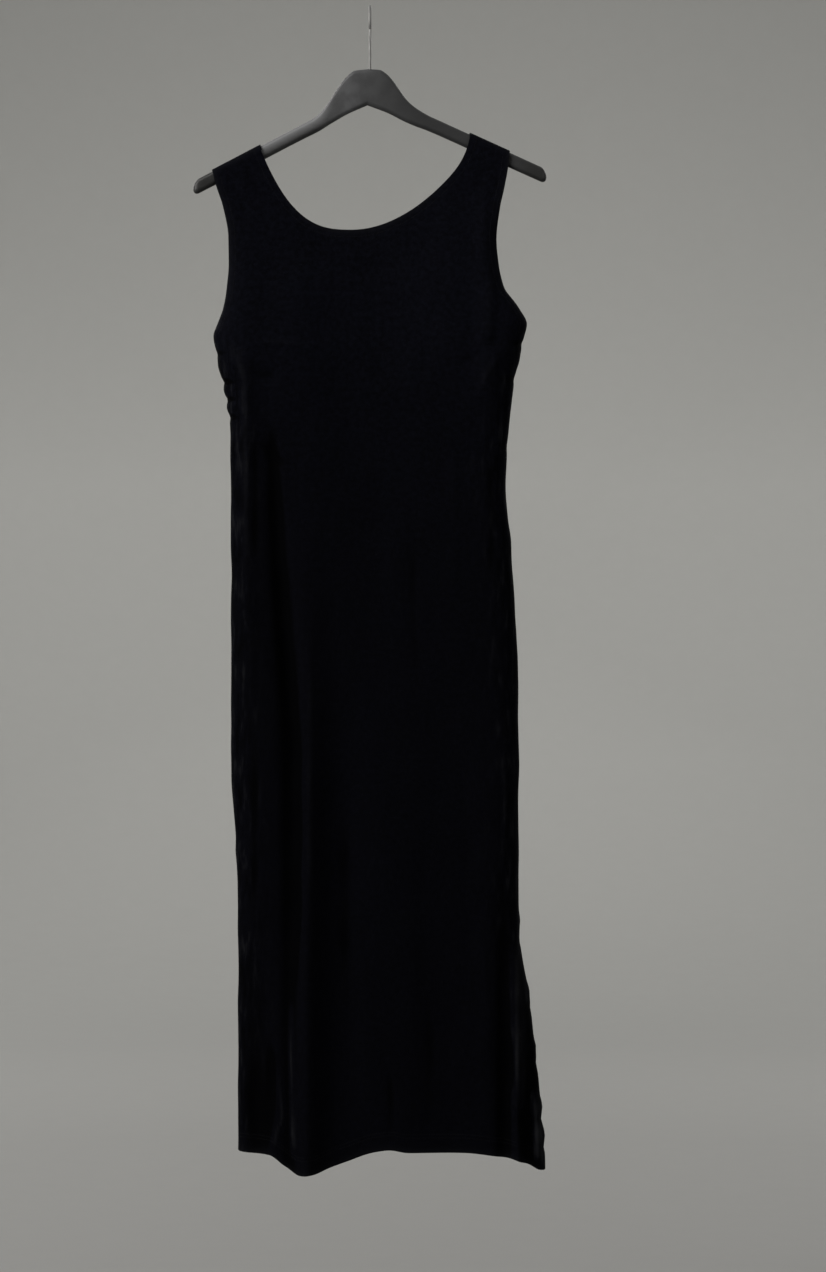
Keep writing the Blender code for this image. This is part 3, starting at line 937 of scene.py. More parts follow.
ridge = partial(crease, CreaseKind.RIDGE)
trough = partial(crease, CreaseKind.TROUGH)
FRONT_CREASES = (
    # bodice
    ridge(1.2, 5.5, -166, 441, -120, 437, -44, 446),
    trough(1.2, 8, -160, 470, -135, 480, -110, 474),
    trough(0.9, 11, -39, 395, 13, 458, -5, 510),
    trough(1.4, 7.5, 176, 418, 142, 452, 98, 470),
    ridge(1.2, 6, 180, 436, 152, 478, 128, 530),
    ridge(0.8, 5.5, 157, 320, 156, 400, 158, 470),
    trough(1, 11, -92, 318, -26, 346, 48, 331),
    ridge(0.7, 7, -70, 372, -10, 384, 70, 366),
    trough(0.8, 8, -190, 212, -172, 244, -156, 290),
    trough(0.6, 7, -164, 204, -152, 228, -144, 262),
    trough(0.8, 8, 170, 208, 160, 240, 150, 282),
    trough(0.6, 7, 146, 198, 142, 222, 136, 254),
    ridge(1.2, 5.5, -194, 430, -172, 456, -158, 500),
    trough(0.7, 11, 30, 420, 62, 446, 76, 492),
    # waist and hips
    ridge(0.9, 4.8, -161.5, 450, -160, 600, -158.5, 740, fade=0.2),
    trough(1, 5, -150, 520, -149, 640, -151, 760),
    trough(0.8, 7, -150, 556, -118, 588, -74, 596),
    ridge(0.7, 5.5, -62, 470, -30, 500, 22, 506),
    trough(0.9, 12, 22, 556, 12, 680, 22, 820),
    ridge(1, 9, 100, 516, 109, 640, 104, 770),
    trough(1, 7.5, 62, 620, 55, 760, 64, 910),
    trough(0.9, 6, 150, 560, 158, 660, 154, 780),
    ridge(0.6, 8, 20, 590, 60, 604, 98, 592),
    # skirt
    trough(3.4, 6.8, -128, 520, -112, 800, -100, 930, -96, 1020, -96, 1285, fade=0.16),
    trough(2.2, 10, -150, 1360, -147, 1430, -144, 1490),
    ridge(0.8, 5, -75.7, 744, -78, 1000, -76.5, 1238),
    ridge(1, 3, -101.4, 1280, -101, 1360, -98.5, 1500, fade=0.2),
    ridge(0.6, 2.8, -94.9, 1410, -95.5, 1496),
    ridge(1.2, 3.6, -118.3, 1369, -113.1, 1437, -119.6, 1456, -125, 1492, fade=0.2),
    trough(2, 5, -129, 1330, -127, 1400, -134, 1484),
    trough(1.4, 9, -32.5, 1004, -33, 1170, -31, 1329),
    ridge(0.8, 3.2, 189.8, 1176, 190.5, 1300, 190, 1422, fade=0.2),
    ridge(0.8, 4, 175.5, 848, 174.5, 1000, 176.5, 1173),
    ridge(3.4, 4.6, 210.5, 1400, 215, 1450, 218.5, 1502, fade=0.15),
    trough(2.2, 4.5, 179, 1325, 180, 1365, 181, 1410),
    trough(2.6, 6, 195, 1410, 198, 1450, 201, 1500),
    trough(1.1, 11, 120, 930, 126, 1100, 122, 1310),
    ridge(1.1, 11, 50, 1000, 54, 1200, 50, 1440),
    ridge(1.4, 9, 146, 1130, 150, 1300, 148, 1490),
    trough(1.1, 6, -150, 880, -149, 1050, -151, 1220),
    ridge(1.1, 13, -7, 1180, -4, 1310, 1, 1480),
    trough(1.2, 8, 76, 1240, 78, 1360, 74, 1490),
    trough(1, 6, 24, 1360, 27, 1430, 24, 1488),
)
BACK_CREASES = (
    # bodice
    trough(1.2, 6.5, -184, 428, -146, 458, -96, 474),
    trough(1.3, 7, 180, 424, 140, 462, 86, 480),
    ridge(1, 6, -150, 392, -90, 412, -20, 404),
    trough(1, 12, -86, 330, -22, 356, 50, 338),
    trough(1, 5, -186, 214, -170, 248, -158, 292),
    trough(1, 5, 168, 206, 158, 240, 150, 286),
    ridge(0.7, 8, 10, 420, 60, 440, 104, 430),
    # waist and hips
    ridge(1.1, 8, -134, 520, -140, 650, -136, 820),
    trough(1.1, 9, -64, 540, -60, 690, -68, 850),
    trough(0.8, 7, -110, 584, -60, 602, -6, 590),
    ridge(0.9, 7.5, 30, 600, 38, 730, 34, 900),
    trough(1, 6.5, 142, 560, 150, 690, 146, 840),
    ridge(0.7, 6, 40, 556, 84, 574, 128, 562),
    # skirt
    ridge(1.6, 4, -126, 1020, -129, 1220, -127, 1430),
    trough(1.4, 7, -100, 900, -104, 1090, -102, 1300),
    ridge(1.4, 6, -44, 1080, -41, 1270, -43, 1470),
    trough(1.2, 8, -12, 1000, -9, 1180, -13, 1380),
    ridge(1.2, 10, 48, 960, 52, 1140, 50, 1330),
    ridge(1.6, 4.5, 83, 1120, 81, 1290, 84, 1470),
    trough(1.4, 7, 106, 1060, 111, 1240, 110, 1450),
    ridge(1.4, 5, 158, 1160, 166, 1310, 176, 1480),
    trough(1.6, 5.5, 186, 1290, 192, 1390, 198, 1490),
    trough(1.1, 6, -152, 1140, -154, 1290, -153, 1450),
)


class Side(Enum):
    """A side seam, as seen from the front."""

    LEFT = -1
    RIGHT = 1


@dataclass(frozen=True)
class Pucker:
    """A short stretch of a side seam that is drawn in, or stands out if depth is negative."""

    drop: float
    depth: float
    height: float


PUCKERS = {
    Side.LEFT: in_metres(
        Pucker,
        (451, 1.2, 4.5), (468, -1.2, 8), (488, 2.2, 4.5), (499, -1, 6), (510, 1.8, 4), (521, -1.2, 5.5),
        (533, 1.8, 5), (590, -0.6, 18), (740, 0.8, 22), (960, -0.7, 30), (1095, -1, 12),
        (1250, 0.6, 26),
    ),
    Side.RIGHT: in_metres(
        Pucker,
        (438, 1.4, 5), (462, -0.8, 8), (484, 1.2, 5), (570, 1, 9), (690, -1, 14), (790, 0.8, 18),
        (980, -0.7, 28), (1185, -1.4, 8), (1212, 1, 7), (1275, -1.4, 8), (1300, 1, 6), (1348, -1.4, 7),
        (1372, 1.4, 6), (1425, -2.2, 7), (1444, 1.6, 5), (1462, -1.6, 6), (1480, 1.2, 5),
    ),
}


# ---- hanger ----


@dataclass(frozen=True)
class BarSection:
    """One section of the symmetrical bar, by its reach from the centre."""

    reach: float
    top: float
    bottom: float


BAR_SECTIONS = in_metres(
    BarSection,
    (0, 79.4, 126.6), (16, 80.9, 133), (23.5, 85.3, 136.2), (31, 92.8, 139.9), (41, 106.7, 145.6),
    (52, 122.8, 151.7), (62, 133.2, 157), (75, 142.6, 162.9), (90, 150.2, 170), (160, 185.2, 204.9),
    (221, 215.7, 235),
)


@dataclass
class Hanger:
    """The contoured bar and its wire hook."""

    reach: float = 0.2290  # centre to tip
    crown_shift: float = -0.0034  # x of the crown's middle: the hook stands a little right of it
    crown_edge: float = 0.045  # from this reach to the next the shift fades, so the arms end evenly
    arm_start: float = 0.075
    thick: float = 0.0120
    arm_level: float = 0.1051  # drop at which the arms' top edges would meet
    arm_fall: float = 0.5006  # drop for each metre of reach
    tilt: float = 0.034  # the bar hangs lower on the left by this much a metre
    lean: float = 4.0  # degrees by which the arms lean forward
    lean_ease: float = 0.018
    wire: float = 0.0018  # radius
    crown: float = 0.0215  # radius of the hook's bend, along the wire's centre
    tip_angle: float = 205.0
    join_angle: float = -58.0
    shank_top: float = 0.060
    shank_pull: float = 0.42
    socket: float = 0.020  # the shank's length inside the bar
    polished: tuple[float, ...] = (-0.160, -0.146, -0.066, -0.042)  # x of the painted highlight: from, full, to, gone
    highlight_to: float = 0.85  # share of the bar's height, from its top, at which the painted highlight ends
    highlight_fade: float = 0.60
    tip_wear: float = 0.010  # how far from the tips the bar is rubbed
    edge_wear: float = 0.8  # how much its upper and lower edges are
    edge_keenness: int = 6  # the more, the nearer to the edge the wear keeps
    stations: int = 110  # from the centre to where the tip starts to round
    tip_stations: int = 12
    tip_turn: float = 86.0  # degrees: a small flat is left at the tip
    sides: int = 44
    shank_steps: int = 5
    rise_steps: int = 18
    bend_steps: int = 56
    wire_sides: int = 20
    ball_rings: int = 12

    def sweep(self, x: Array) -> Array:
        """y of the bar's middle plane at x."""
        forward = math.tan(math.radians(self.lean))
        return -forward * (np.hypot(x, self.lean_ease) - self.lean_ease)

    def half_sizes(self) -> Array:
        """Returns: (reach, top, bottom, thickness) rows from the centre to the rounded tip."""
        full = BAR_SECTIONS[-1]
        reach = np.linspace(0.0, full.reach, self.stations)
        top = column_of(BAR_SECTIONS, "reach", "top")(reach)
        bottom = column_of(BAR_SECTIONS, "reach", "bottom")(reach)
        body = np.stack((reach, top, bottom, np.full_like(reach, self.thick)), 1)
        angle = np.radians(np.linspace(0.0, self.tip_turn, self.tip_stations + 1)[1:])
        reach = full.reach + (self.reach - full.reach) * np.sin(angle)
        height = (full.bottom - full.top) / 2 * np.cos(angle)
        centre = (full.bottom + full.top) / 2 + (reach - full.reach) * self.arm_fall
        tip = np.stack((reach, centre - height, centre + height, self.thick * np.cos(angle)), 1)
        return np.vstack((body, tip))

    def bar(self) -> Piece:
        """Returns: the bar, lofted through its sections."""
        half = self.half_sizes()
        mirrored = half[:0:-1] * (-1, 1, 1, 1)
        x, top, bottom, thick = (column[:, None] for column in np.vstack((mirrored, half)).T)
        x = x + self.crown_shift * (1 - ease(np.abs(x), self.crown_edge, self.arm_start))
        slant = math.cos(math.atan(self.arm_fall))
        rounding = np.minimum(thick / 2 / slant, (bottom - top) / 2)
        angle = 2 * math.pi * (np.arange(self.sides)[None, :] + 0.5) / self.sides
        above = np.sin(angle) > 0
        level = np.where(above, top + rounding, bottom - rounding) - rounding * np.sin(angle)
        drop = level - self.tilt * x
        y = self.sweep(x) + thick / 2 * np.cos(angle)
        points = np.stack((np.broadcast_to(x, y.shape), y, -drop), -1)
        rings = len(points)
        points = points.reshape(-1, 3)
        faces = ring_faces(rings, self.sides)
        faces.append(tuple(range(self.sides)))
        faces.append(tuple(range((rings - 1) * self.sides, rings * self.sides))[::-1])
        along_edge = np.abs(np.sin(angle)) ** self.edge_keenness
        tips = np.exp((np.abs(x) - self.reach) / self.tip_wear)
        worn = np.clip(along_edge * self.edge_wear + tips, 0.0, 1.0)
        # painted highlight on the left arm's upper face
        start, full, fade, end = self.polished
        polished = ease(x, start, full) * ease(x, end, fade)
        height = (level - top) / (bottom - top)
        polished = polished * ease((self.highlight_to - height) / self.highlight_fade)
        fields = {WORN: np.broadcast_to(worn, y.shape).ravel(), PAINTED_HIGHLIGHT: polished.ravel()}
        charcoal = Charcoal().material()
        return make_object("hanger_body", points, facing_out(points, faces), charcoal, fields=fields)

    def hook_route(self) -> Array:
        """Returns: the wire's centre line: up the shank, into the bend, over the crown to the tip."""
        centre = np.array((0.0, 0.0, self.wire - self.crown))
        foot = np.array((0.0, 0.0, -(BAR_SECTIONS[0].top + self.socket)))
        top = np.array((0.0, 0.0, -self.shank_top))
        turns = np.radians(np.linspace(self.join_angle, self.tip_angle, self.bend_steps))[:, None]
        bend = centre + self.crown * np.hstack((np.zeros_like(turns), np.cos(turns), np.sin(turns)))
        join = math.radians(self.join_angle)
        onward = np.array((0.0, -math.sin(join), math.cos(join)))
        pull = np.linalg.norm(bend[0] - top) * self.shank_pull
        t = np.linspace(0.0, 1.0, self.rise_steps)[:, None]
        rise = (
            top * (1 - t) ** 3
            + (top + (0, 0, pull)) * 3 * t * (1 - t) ** 2
            + (bend[0] - onward * pull) * 3 * t * t * (1 - t)
            + bend[0] * t**3
        )
        shank = foot + (top - foot) * np.linspace(0.0, 1.0, self.shank_steps + 1)[:-1, None]
        return np.vstack((shank, rise[:-1], bend))

    def hook(self) -> Piece:
        """Returns: the hook, a round wire swept by Geometry Nodes, with a rounded tip."""
        route = self.hook_route()
        guide = bpy.data.meshes.new("hook_route")
        guide.from_pydata(route.tolist(), [(i, i + 1) for i in range(len(route) - 1)], [])
        graph = ShapeGraph("wire_maker", {"Radius": "NodeSocketFloat", "Material": "NodeSocketMaterial"})
        radius = graph.given("Radius")
        path = graph.node("GeometryNodeMeshToCurve", {"Mesh": graph.given("Guide")})
        circle = {"Resolution": self.wire_sides, "Radius": radius}
        section = graph.node("GeometryNodeCurvePrimitiveCircle", circle)
        swept = {"Curve": path, "Profile Curve": section, "Fill Caps": True}
        wire = graph.node("GeometryNodeCurveToMesh", swept)
        ends = graph.node("GeometryNodeCurveEndpointSelection", {"Start Size": 0, "End Size": 1})
        sphere = {"Segments": self.wire_sides, "Rings": self.ball_rings, "Radius": radius}
        ball = graph.node("GeometryNodeMeshUVSphere", sphere)
        placed = {"Points": path, "Selection": ends, "Instance": ball}
        tip = graph.node("GeometryNodeInstanceOnPoints", placed)
        graph.close(graph.node("GeometryNodeJoinGeometry", {0: [wire, tip]}))
        return graph.run("hook_wire", guide, {"Radius": self.wire, "Material": BrightWire().material()})

    def build(self) -> list[Piece]:
        """Returns:
            Its pieces.
        """
        bar, hook = self.bar(), self.hook()
        pieces = ((bar, "hanger_bar", "hanger_grey"), (hook, "hanger_hook", "hook_steel"))
        for piece, node, slot in pieces:
            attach(piece, BODY)
            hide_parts(node)
        return [bar, hook]


# ---- dress ----


SLACK_WAVES = (  # radians for each metre of x, for each of drop, and for the panel's side
    (71.0, 23.0, 1.0),
    (-19.0, 37.0, 2.0),
    (173.0, -41.0, 0.7),
    (57.0, 89.0, 0.0),
)


@dataclass
class DressForm:
    """The outline and the middle plane that the front and the back share."""

    hanger: Hanger
    cloth: float = 0.0012  # wall of one layer
    turned_in: float = 0.0008  # what an edge that is turned in adds to the inside
    turned_width: float = 0.011
    hem_turn: float = 0.024
    turn_fade: float = 0.004
    seam_gap: float = 0.0003
    underarm: float = 0.420
    side_round: float = 0.036  # the sides turn from the front to the back over this width
    side_take_up: float = 0.011  # what that turn adds to the cloth's width
    swept_to: float = 0.25  # the cloth follows the hanger's lean down to this drop
    relaxed_at: float = 1.10
    relaxed_share: float = 0.35
    bar_clearance: float = 0.0004
    slack: float = 0.00045  # of the soft unevenness all over
    ripple: float = 0.4  # its finer waves' share of that
    pucker_reach: float = 0.012
    pucker_bend: float = 90000.0  # bend of a pucker for each metre of its depth
    gathered: float = 0.030  # how far from a side seam the cloth is drawn into fine streaks of painted shade and highlight
    gathered_over: float = 0.050  # below the underarm, they come in over this drop

    def __post_init__(self) -> None:
        """Works out the outline and how the cloth lies over the bar."""
        self.left = column_of(SECTIONS, "drop", "left")
        self.right = column_of(SECTIONS, "drop", "right")
        self.gape = column_of(SECTIONS, "drop", "gape")
        slant = math.cos(math.atan(self.hanger.arm_fall))
        around = self.bar_clearance + self.cloth + self.turned_in
        self.above_bar = around / slant
        self.wrap_height = (self.hanger.thick / 2 + around) / slant

    def edge(self, side: Side) -> Profile:
        """x of the outline on one side, by drop."""
        return self.left if side is Side.LEFT else self.right

    def x_at(self, across: Array, drop: Array) -> Array:
        """x at a share of the width."""
        return self.left(drop) + across * (self.right(drop) - self.left(drop))

    def share_at(self, x: Array, drop: Array) -> Array:
        """Share of the width at x."""
        return (x - self.left(drop)) / (self.right(drop) - self.left(drop))

    def middle(self, x: Array, drop: Array) -> Array:
        """y of the plane between the front and the back, which relaxes towards the hem."""
        relaxed = ease(drop, self.swept_to, self.relaxed_at)
        return self.hanger.sweep(x) * (1.0 - relaxed * (1.0 - self.relaxed_share))

    def shoulder(self, x: Array) -> Array:
        """Drop of the shoulder seam, which lies over the hanger's arm."""
        arm = self.hanger.arm_level + self.hanger.arm_fall * np.abs(x) - self.hanger.tilt * x
        return arm - self.above_bar

    def from_edge(self, x: Array, drop: Array) -> Array:
        """Distance to the nearer side edge."""
        return np.minimum(x - self.left(drop), self.right(drop) - x)

    def side_turn(self, x: Array, drop: Array) -> Array:
        """0 at a side edge, and 1 where the cloth has turned to face forward or back."""
        short = 1 - np.minimum(self.from_edge(x, drop) / self.side_round, 1.0)
        return np.sqrt(np.maximum(0.0, 1 - short**2))

    def seam_relief(self, x: Array, drop: Array) -> Array:
        """What the puckers along both side seams add to the face.

        Args:
            x: Places over a panel.
            drop: Their drops.

        Returns:
            How far they lift it outwards.
        """
        lift = np.zeros(x.shape)
        for side, puckers in PUCKERS.items():
            near = np.exp(-np.abs(x - self.edge(side)(drop)) / self.pucker_reach)
            for pucker in puckers:
                lift -= pucker.depth * near * np.exp(-(((drop - pucker.drop) / pucker.height) ** 2))
        return lift

    def slack_relief(self, x: Array, drop: Array, side: int) -> Array:
        """What a soft unevenness, another on each side, adds to the face, outwards."""
        a, b, c, d = (np.sin(x * dx + drop * dz + side * turn) for dx, dz, turn in SLACK_WAVES)
        return self.slack * (a * b + self.ripple * (c * d))


class Facing(Enum):
    """Which way a panel faces along y."""

    FRONT = -1
    BACK = 1


@dataclass
class Panel:
    """The front or the back: a fine closed wall with its creases."""

    facing: Facing
    form: DressForm
    neck: Neckline
    hem: tuple[Hem, ...]
    folds: tuple[Fold, ...]
    creases: tuple[Crease, ...]
    columns: int = 178
    edge_rows: tuple[float, ...] = (0.0, 0.0005, 0.0014, 0.003, 0.005, 0.0078, 0.0105, 0.0128, 0.015)
    yoke_rows: int = 46
    skirt_rows: int = 186
    skirt_ease: float = 1.30
    hem_rows: int = 7
    roll_points: int = 3  # round an open edge
    open_roll: float = 0.85  # how round an open edge is, where 1 is a half circle
    seam_roll: float = 0.05
    wear_reach: float = 0.0035  # how far wear reaches from an open edge
    relief_from: float = 0.030  # the creases come in over this drop below the bar
    sharpest: float = 350.0  # bend, as 1 over its radius, that counts as fully sharp and gets the full painted highlight or shade
    settled: float = 0.460  # the columns leave the neckline and settle at this drop
    hem_level: float = 1.480
    levels: tuple[float, float] = (1.100, 1.450)  # drops at which folds draw columns together
    wrap_crowding: float = 7.0
    side_crowding: float = 7.0
    side_crowding_reach: float = 0.022
    fold_crowding: float = 70.0
    fold_crowding_reach: float = 0.055

    def __post_init__(self) -> None:
        """Works out the panel's depth and hem."""
        self.name = self.facing.name.lower()
        self.side = self.facing.value
        self.depth_at = column_of(SECTIONS, "drop", self.name)
        self.hem_at = column_of(self.hem, "x", "drop")

    def on_neck(self, x: Array) -> Array:
        """Whether the top edge is the neckline at x, and not a shoulder."""
        return (x > self.neck.left_x) & (x < self.neck.right_x)

    def neck_drop(self, x: Array) -> Array:
        """Drop of the neckline at x."""
        end = np.where(x < self.neck.low_x, self.neck.left_x, self.neck.right_x)
        return self.neck.low - (self.neck.low - self.form.shoulder(end)) * self.neck.climb(x)

    def shoulder_tip(self, side: Side, rounds: int = 60) -> float:
        """Finds where the shoulder seam ends.

        Args:
            side: The armhole at which it ends.
            rounds: How often the place is made nearer.

        Returns:
            x of the place.
        """
        edge = self.form.edge(side)
        x = float(edge(self.form.underarm))
        for _ in range(rounds):
            x = float(edge(self.form.shoulder(x)))
        return x

    def top_edge(self, steps: int = 240) -> tuple[Array, Array]:
        """Points along the left shoulder, the neckline and the right shoulder.

        Args:
            steps: How many points each stretch has.

        Returns:
            Their (x, drop) and how closely the columns stand at each.
        """
        left_tip, right_tip = (self.shoulder_tip(side) for side in Side)
        t = np.arange(steps) / steps
        left_neck = self.neck.left_x + t**3 * (self.neck.low_x - self.neck.left_x)
        right_neck = self.neck.low_x + (1 - (1 - t) ** 3) * (self.neck.right_x - self.neck.low_x)
        left = left_tip + t * (self.neck.left_x - left_tip)
        right = self.neck.right_x + t * (right_tip - self.neck.right_x)
        x = np.concatenate((left, left_neck, right_neck, right, [right_tip]))
        on_neck = self.on_neck(x)
        drop = np.where(on_neck, self.neck_drop(x), self.form.shoulder(x))
        over_bar = (drop - self.form.shoulder(x)) / self.form.wrap_height
        crowding = 1.0 + np.where(on_neck, self.wrap_crowding * np.exp(-over_bar * over_bar), 0.0)
        return np.stack((x, drop), 1), crowding

    def column_tops(self) -> Array:
        """Returns: (x, drop) where each column starts."""
        edge, crowding = self.top_edge()
        sums = running_sum(step_lengths(edge) * crowding[:-1])
        wanted = np.linspace(0.0, sums[-1], self.columns)
        tops = np.stack([np.interp(wanted, sums, edge[:, i]) for i in (0, 1)], 1)
        for corner_x in (self.neck.left_x, self.neck.right_x):
            corner = np.array((corner_x, self.form.shoulder(corner_x)))
            nearest = 1 + np.argmin(np.linalg.norm(tops[1:-1] - corner, axis=1))
            tops[nearest] = corner
        return tops

    def column_feet(self, samples: int = 2400) -> Array:
        """Spreads the columns over the skirt, closer at the sides and the folds.

        Args:
            samples: At how many places the crowding is worked out.

        Returns:
            Share of the width at which each column runs.
        """
        across = (np.arange(samples) + 0.5) / samples
        from_side = np.minimum(across, 1 - across) / self.side_crowding_reach
        crowding = 1.0 + self.side_crowding * np.exp(-from_side)
        for fold in self.folds:
            for drop in self.levels:
                away = (across - self.form.share_at(fold.foot_x, drop)) / self.fold_crowding_reach
                crowding += self.fold_crowding * abs(fold.rise) * np.exp(-away * away)
        sums = running_sum(crowding)
        wanted = np.linspace(0.0, sums[-1], self.columns)
        return np.interp(wanted, sums, np.linspace(0.0, 1.0, samples + 1))

    def laid(self, across: Array, drop: Array) -> Array:
        """The outer surface with its large folds.

        Args:
            across: Shares of the width.
            drop: Their drops.

        Returns:
            The surface's points.
        """
        form = self.form
        x = form.x_at(across, drop)
        rise = sum(fold.lift(x, drop) for fold in self.folds)
        gape = form.gape(drop)
        depth = gape + (self.depth_at(drop) - gape + rise) * form.side_turn(x, drop)
        over = np.clip((drop - form.shoulder(x)) / form.wrap_height, 0.0, 1.0)
        depth = np.maximum(depth * np.sqrt(1 - (1 - over) ** 2), form.seam_gap / 2)
        return np.stack((x, form.middle(x, drop) + self.side * depth, -drop), -1)

    def normals(self, grid: Array) -> Array:
        """Unit normals of points by column and row, away from the inside of the dress."""
        across, down = np.gradient(grid, axis=(0, 1))
        return unit(np.cross(across, down)) * self.side

    def grid(self) -> tuple[Array, Array, Array]:
        """Lays out the columns and rows.

        Returns:
            Share of the width, drop, and distance from the top edge or the hem, by column and row.
        """
        tops, feet = self.column_tops(), self.column_feet()
        top = tops[:, 1:]
        hem = self.hem_at(self.form.x_at(feet, self.hem_level))[:, None]
        edge = top + np.array(self.edge_rows)
        yoke = edge[:, -1:] + (self.form.underarm - edge[:, -1:]) * shares(self.yoke_rows)
        last = hem - self.form.hem_turn - self.form.turn_fade
        skirt_share = shares(self.skirt_rows) ** self.skirt_ease
        skirt = self.form.underarm + (last - self.form.underarm) * skirt_share
        drop = np.hstack((edge, yoke, skirt, last + (hem - last) * shares(self.hem_rows)))
        start = self.form.share_at(tops[:, :1], top)
        across = start + (feet[:, None] - start) * ease(drop, top, self.settled)
        return across, drop, np.minimum(drop - top, hem - drop)

    def relief(self, x: Array, drop: Array) -> tuple[Array, Array]:
        """What creases, puckers and slack do to the face; nothing over the bar.

        Args:
            x: Places over the panel.
            drop: Their drops.

        Returns:
            How far the face is lifted outwards, and from -1 to 1 how sharply it bends into hollows or
            onto crests, which sets the painted shade and highlight.
        """
        lift = self.form.seam_relief(x, drop)
        bend = lift * self.form.pucker_bend
        for crease in self.creases:
            raised = crease.lift(x, drop)
            lift = lift + raised
            bend = bend + raised * 2 / crease.width**2
        bend = bend + sum(fold.lift(x, drop) / fold.spread**2 for fold in self.folds)
        lift = lift + self.form.slack_relief(x, drop, self.side)
        below_bar = drop - self.form.shoulder(x) - self.form.wrap_height
        clear = ease(below_bar / self.relief_from)
        return lift * clear, np.clip(bend * clear / self.sharpest, -1.0, 1.0)

    def build(self, material: Material) -> Piece:
        """Builds the panel.

        Args:
            material: The cloth.

        Returns:
            The panel as one closed wall.
        """
        form = self.form
        across, drop, from_ends = self.grid()
        base = self.laid(across, drop)
        x = base[..., 0]
        relief, painted_fold_light = self.relief(x, drop)
        outer = base + self.normals(base) * relief[..., None]
        from_side = form.from_edge(x, drop)
        inner = self.inside(outer, drop, from_side)
        top_fullness = np.where(self.on_neck(x[:, 0]), self.open_roll, self.seam_roll)
        hem_fullness = np.full(self.columns, self.open_roll)
        top_roll = self.rolled(outer[:, 0], inner[:, 0], outer[:, 1], top_fullness)
        hem_roll = self.rolled(outer[:, -1], inner[:, -1], outer[:, -2], hem_fullness)
        rings = np.concatenate((outer, hem_roll, inner[:, ::-1], top_roll[:, ::-1]), axis=1)
        points = rings.reshape(-1, 3)
        faces = facing_out(points, self.wall_faces(drop.shape[1], rings.shape[1]))
        open_side = np.where(drop < form.underarm, from_side, np.inf)
        worn = np.exp(-np.minimum(np.abs(from_ends), open_side) / self.wear_reach)
        near_seam = np.exp(-((from_side / form.gathered) ** 2))
        near_seam = near_seam * ease((drop - form.underarm) / form.gathered_over)
        fields = {
            WORN: self.round_wall(worn, 1.0, worn),
            # painted highlight on sharp crests and painted shade in sharp hollows, by the folds' bend
            FOLD_LIGHT: self.round_wall(painted_fold_light, 0.0, np.zeros_like(painted_fold_light)),
            SEAM: self.round_wall(near_seam, 0.0, np.zeros_like(painted_fold_light)),
        }
        return make_object(f"dress_{self.name}", points, faces, material, self.layout(x, drop), fields)

    def inside(self, outer: Array, drop: Array, from_side: Array) -> Array:
        """The wall's inner surface, which stays on its own side of the seams.

        Args:
            outer: The outer surface's points, by column and row.
            drop: Their drops before they were creased.
            from_side: Their distances to the nearer side edge.

        Returns:
            The inner surface's points.
        """
        form = self.form
        from_top_turn = drop - drop[:, :1] - form.turned_width
        from_hem_turn = drop[:, -1:] - form.hem_turn - drop
        from_turn = np.minimum(np.minimum(from_top_turn, from_hem_turn), from_side - form.turned_width)
        wall = form.cloth + form.turned_in * (1 - ease(from_turn / form.turn_fade))
        inner = outer - self.normals(outer) * wall[..., None]
        seam = form.middle(inner[..., 0], -inner[..., 2]) + self.side * form.seam_gap / 2
        outermost = np.minimum if self.facing is Facing.FRONT else np.maximum
        inner[..., 1] = outermost(inner[..., 1], seam)
        return inner

    def layout(self, x: Array, drop: Array) -> Array:
        """Lays the panel flat.

        Args:
            x: The outer surface's places.
            drop: Their drops.

        Returns:
            Where each point of the wall lies on the flat sheet, in the wall's order.
        """
        form = self.form
        middle = (form.left(drop) + form.right(drop)) / 2
        take_up = form.side_take_up * (1 - form.side_turn(x, drop)) * np.sign(x - middle)
        flat = np.stack((x + take_up, drop), -1)
        hem_edge = np.repeat(flat[:, -1:], self.roll_points, axis=1)
        top_edge = np.repeat(flat[:, :1], self.roll_points, axis=1)
        return np.concatenate((flat, hem_edge, flat[:, ::-1], top_edge), axis=1).reshape(-1, 2)

    def round_wall(self, outside: Array, on_rolls: float, inside: Array) -> Array:
        """A number for each point of the wall: both surfaces' by column and row, and the rolls'."""
        rolls = np.full((self.columns, self.roll_points), on_rolls)
        return np.concatenate((outside, rolls, inside[:, ::-1], rolls), axis=1).ravel()

    def rolled(self, outer: Array, inner: Array, next_row: Array, fullness: Array) -> Array:
        """Points round an edge, from the outer surface to the inner one.

        Args:
            outer: The edge's outer points.
            inner: Its inner points.
            next_row: The outer points one row further in.
            fullness: How round the edge is, from 0 to 1, for each column.

        Returns:
            The points by column.
        """
        centre = (outer + inner) / 2
        arm = (outer - inner) / 2
        radius = np.linalg.norm(arm, axis=1, keepdims=True)
        onward = outer - next_row
        onward = unit(onward - unit(arm) * np.sum(onward * unit(arm), axis=1, keepdims=True))
        turns = math.pi * np.arange(1, self.roll_points + 1) / (self.roll_points + 1)
        bulge = onward * radius * fullness[:, None]
        return np.stack([centre + arm * math.cos(turn) + bulge * math.sin(turn) for turn in turns], 1)

    def wall_faces(self, rows: int, around: int) -> list[tuple[int, ...]]:
        """Faces of the closed wall: the tube of all columns and the strips at both sides.

        Args:
            rows: How many rows each surface has.
            around: How many points each column has on both surfaces and the rolls.

        Returns:
            The faces, which all face the same way.
        """
        faces = ring_faces(self.columns, around)
        for column, turn in ((0, -1), (self.columns - 1, 1)):
            first = column * around
            for row in range(rows - 1):
                back = first + 2 * rows + self.roll_points - 1 - row
                faces.append((first + row, first + row + 1, back - 1, back)[::turn])
            hem = tuple(range(first + rows - 1, first + rows + self.roll_points + 1))
            top = (*range(first + 2 * rows + self.roll_points - 1, first + around), first)
            faces.append(hem[::turn])
            faces.append(top[::turn])
        return faces


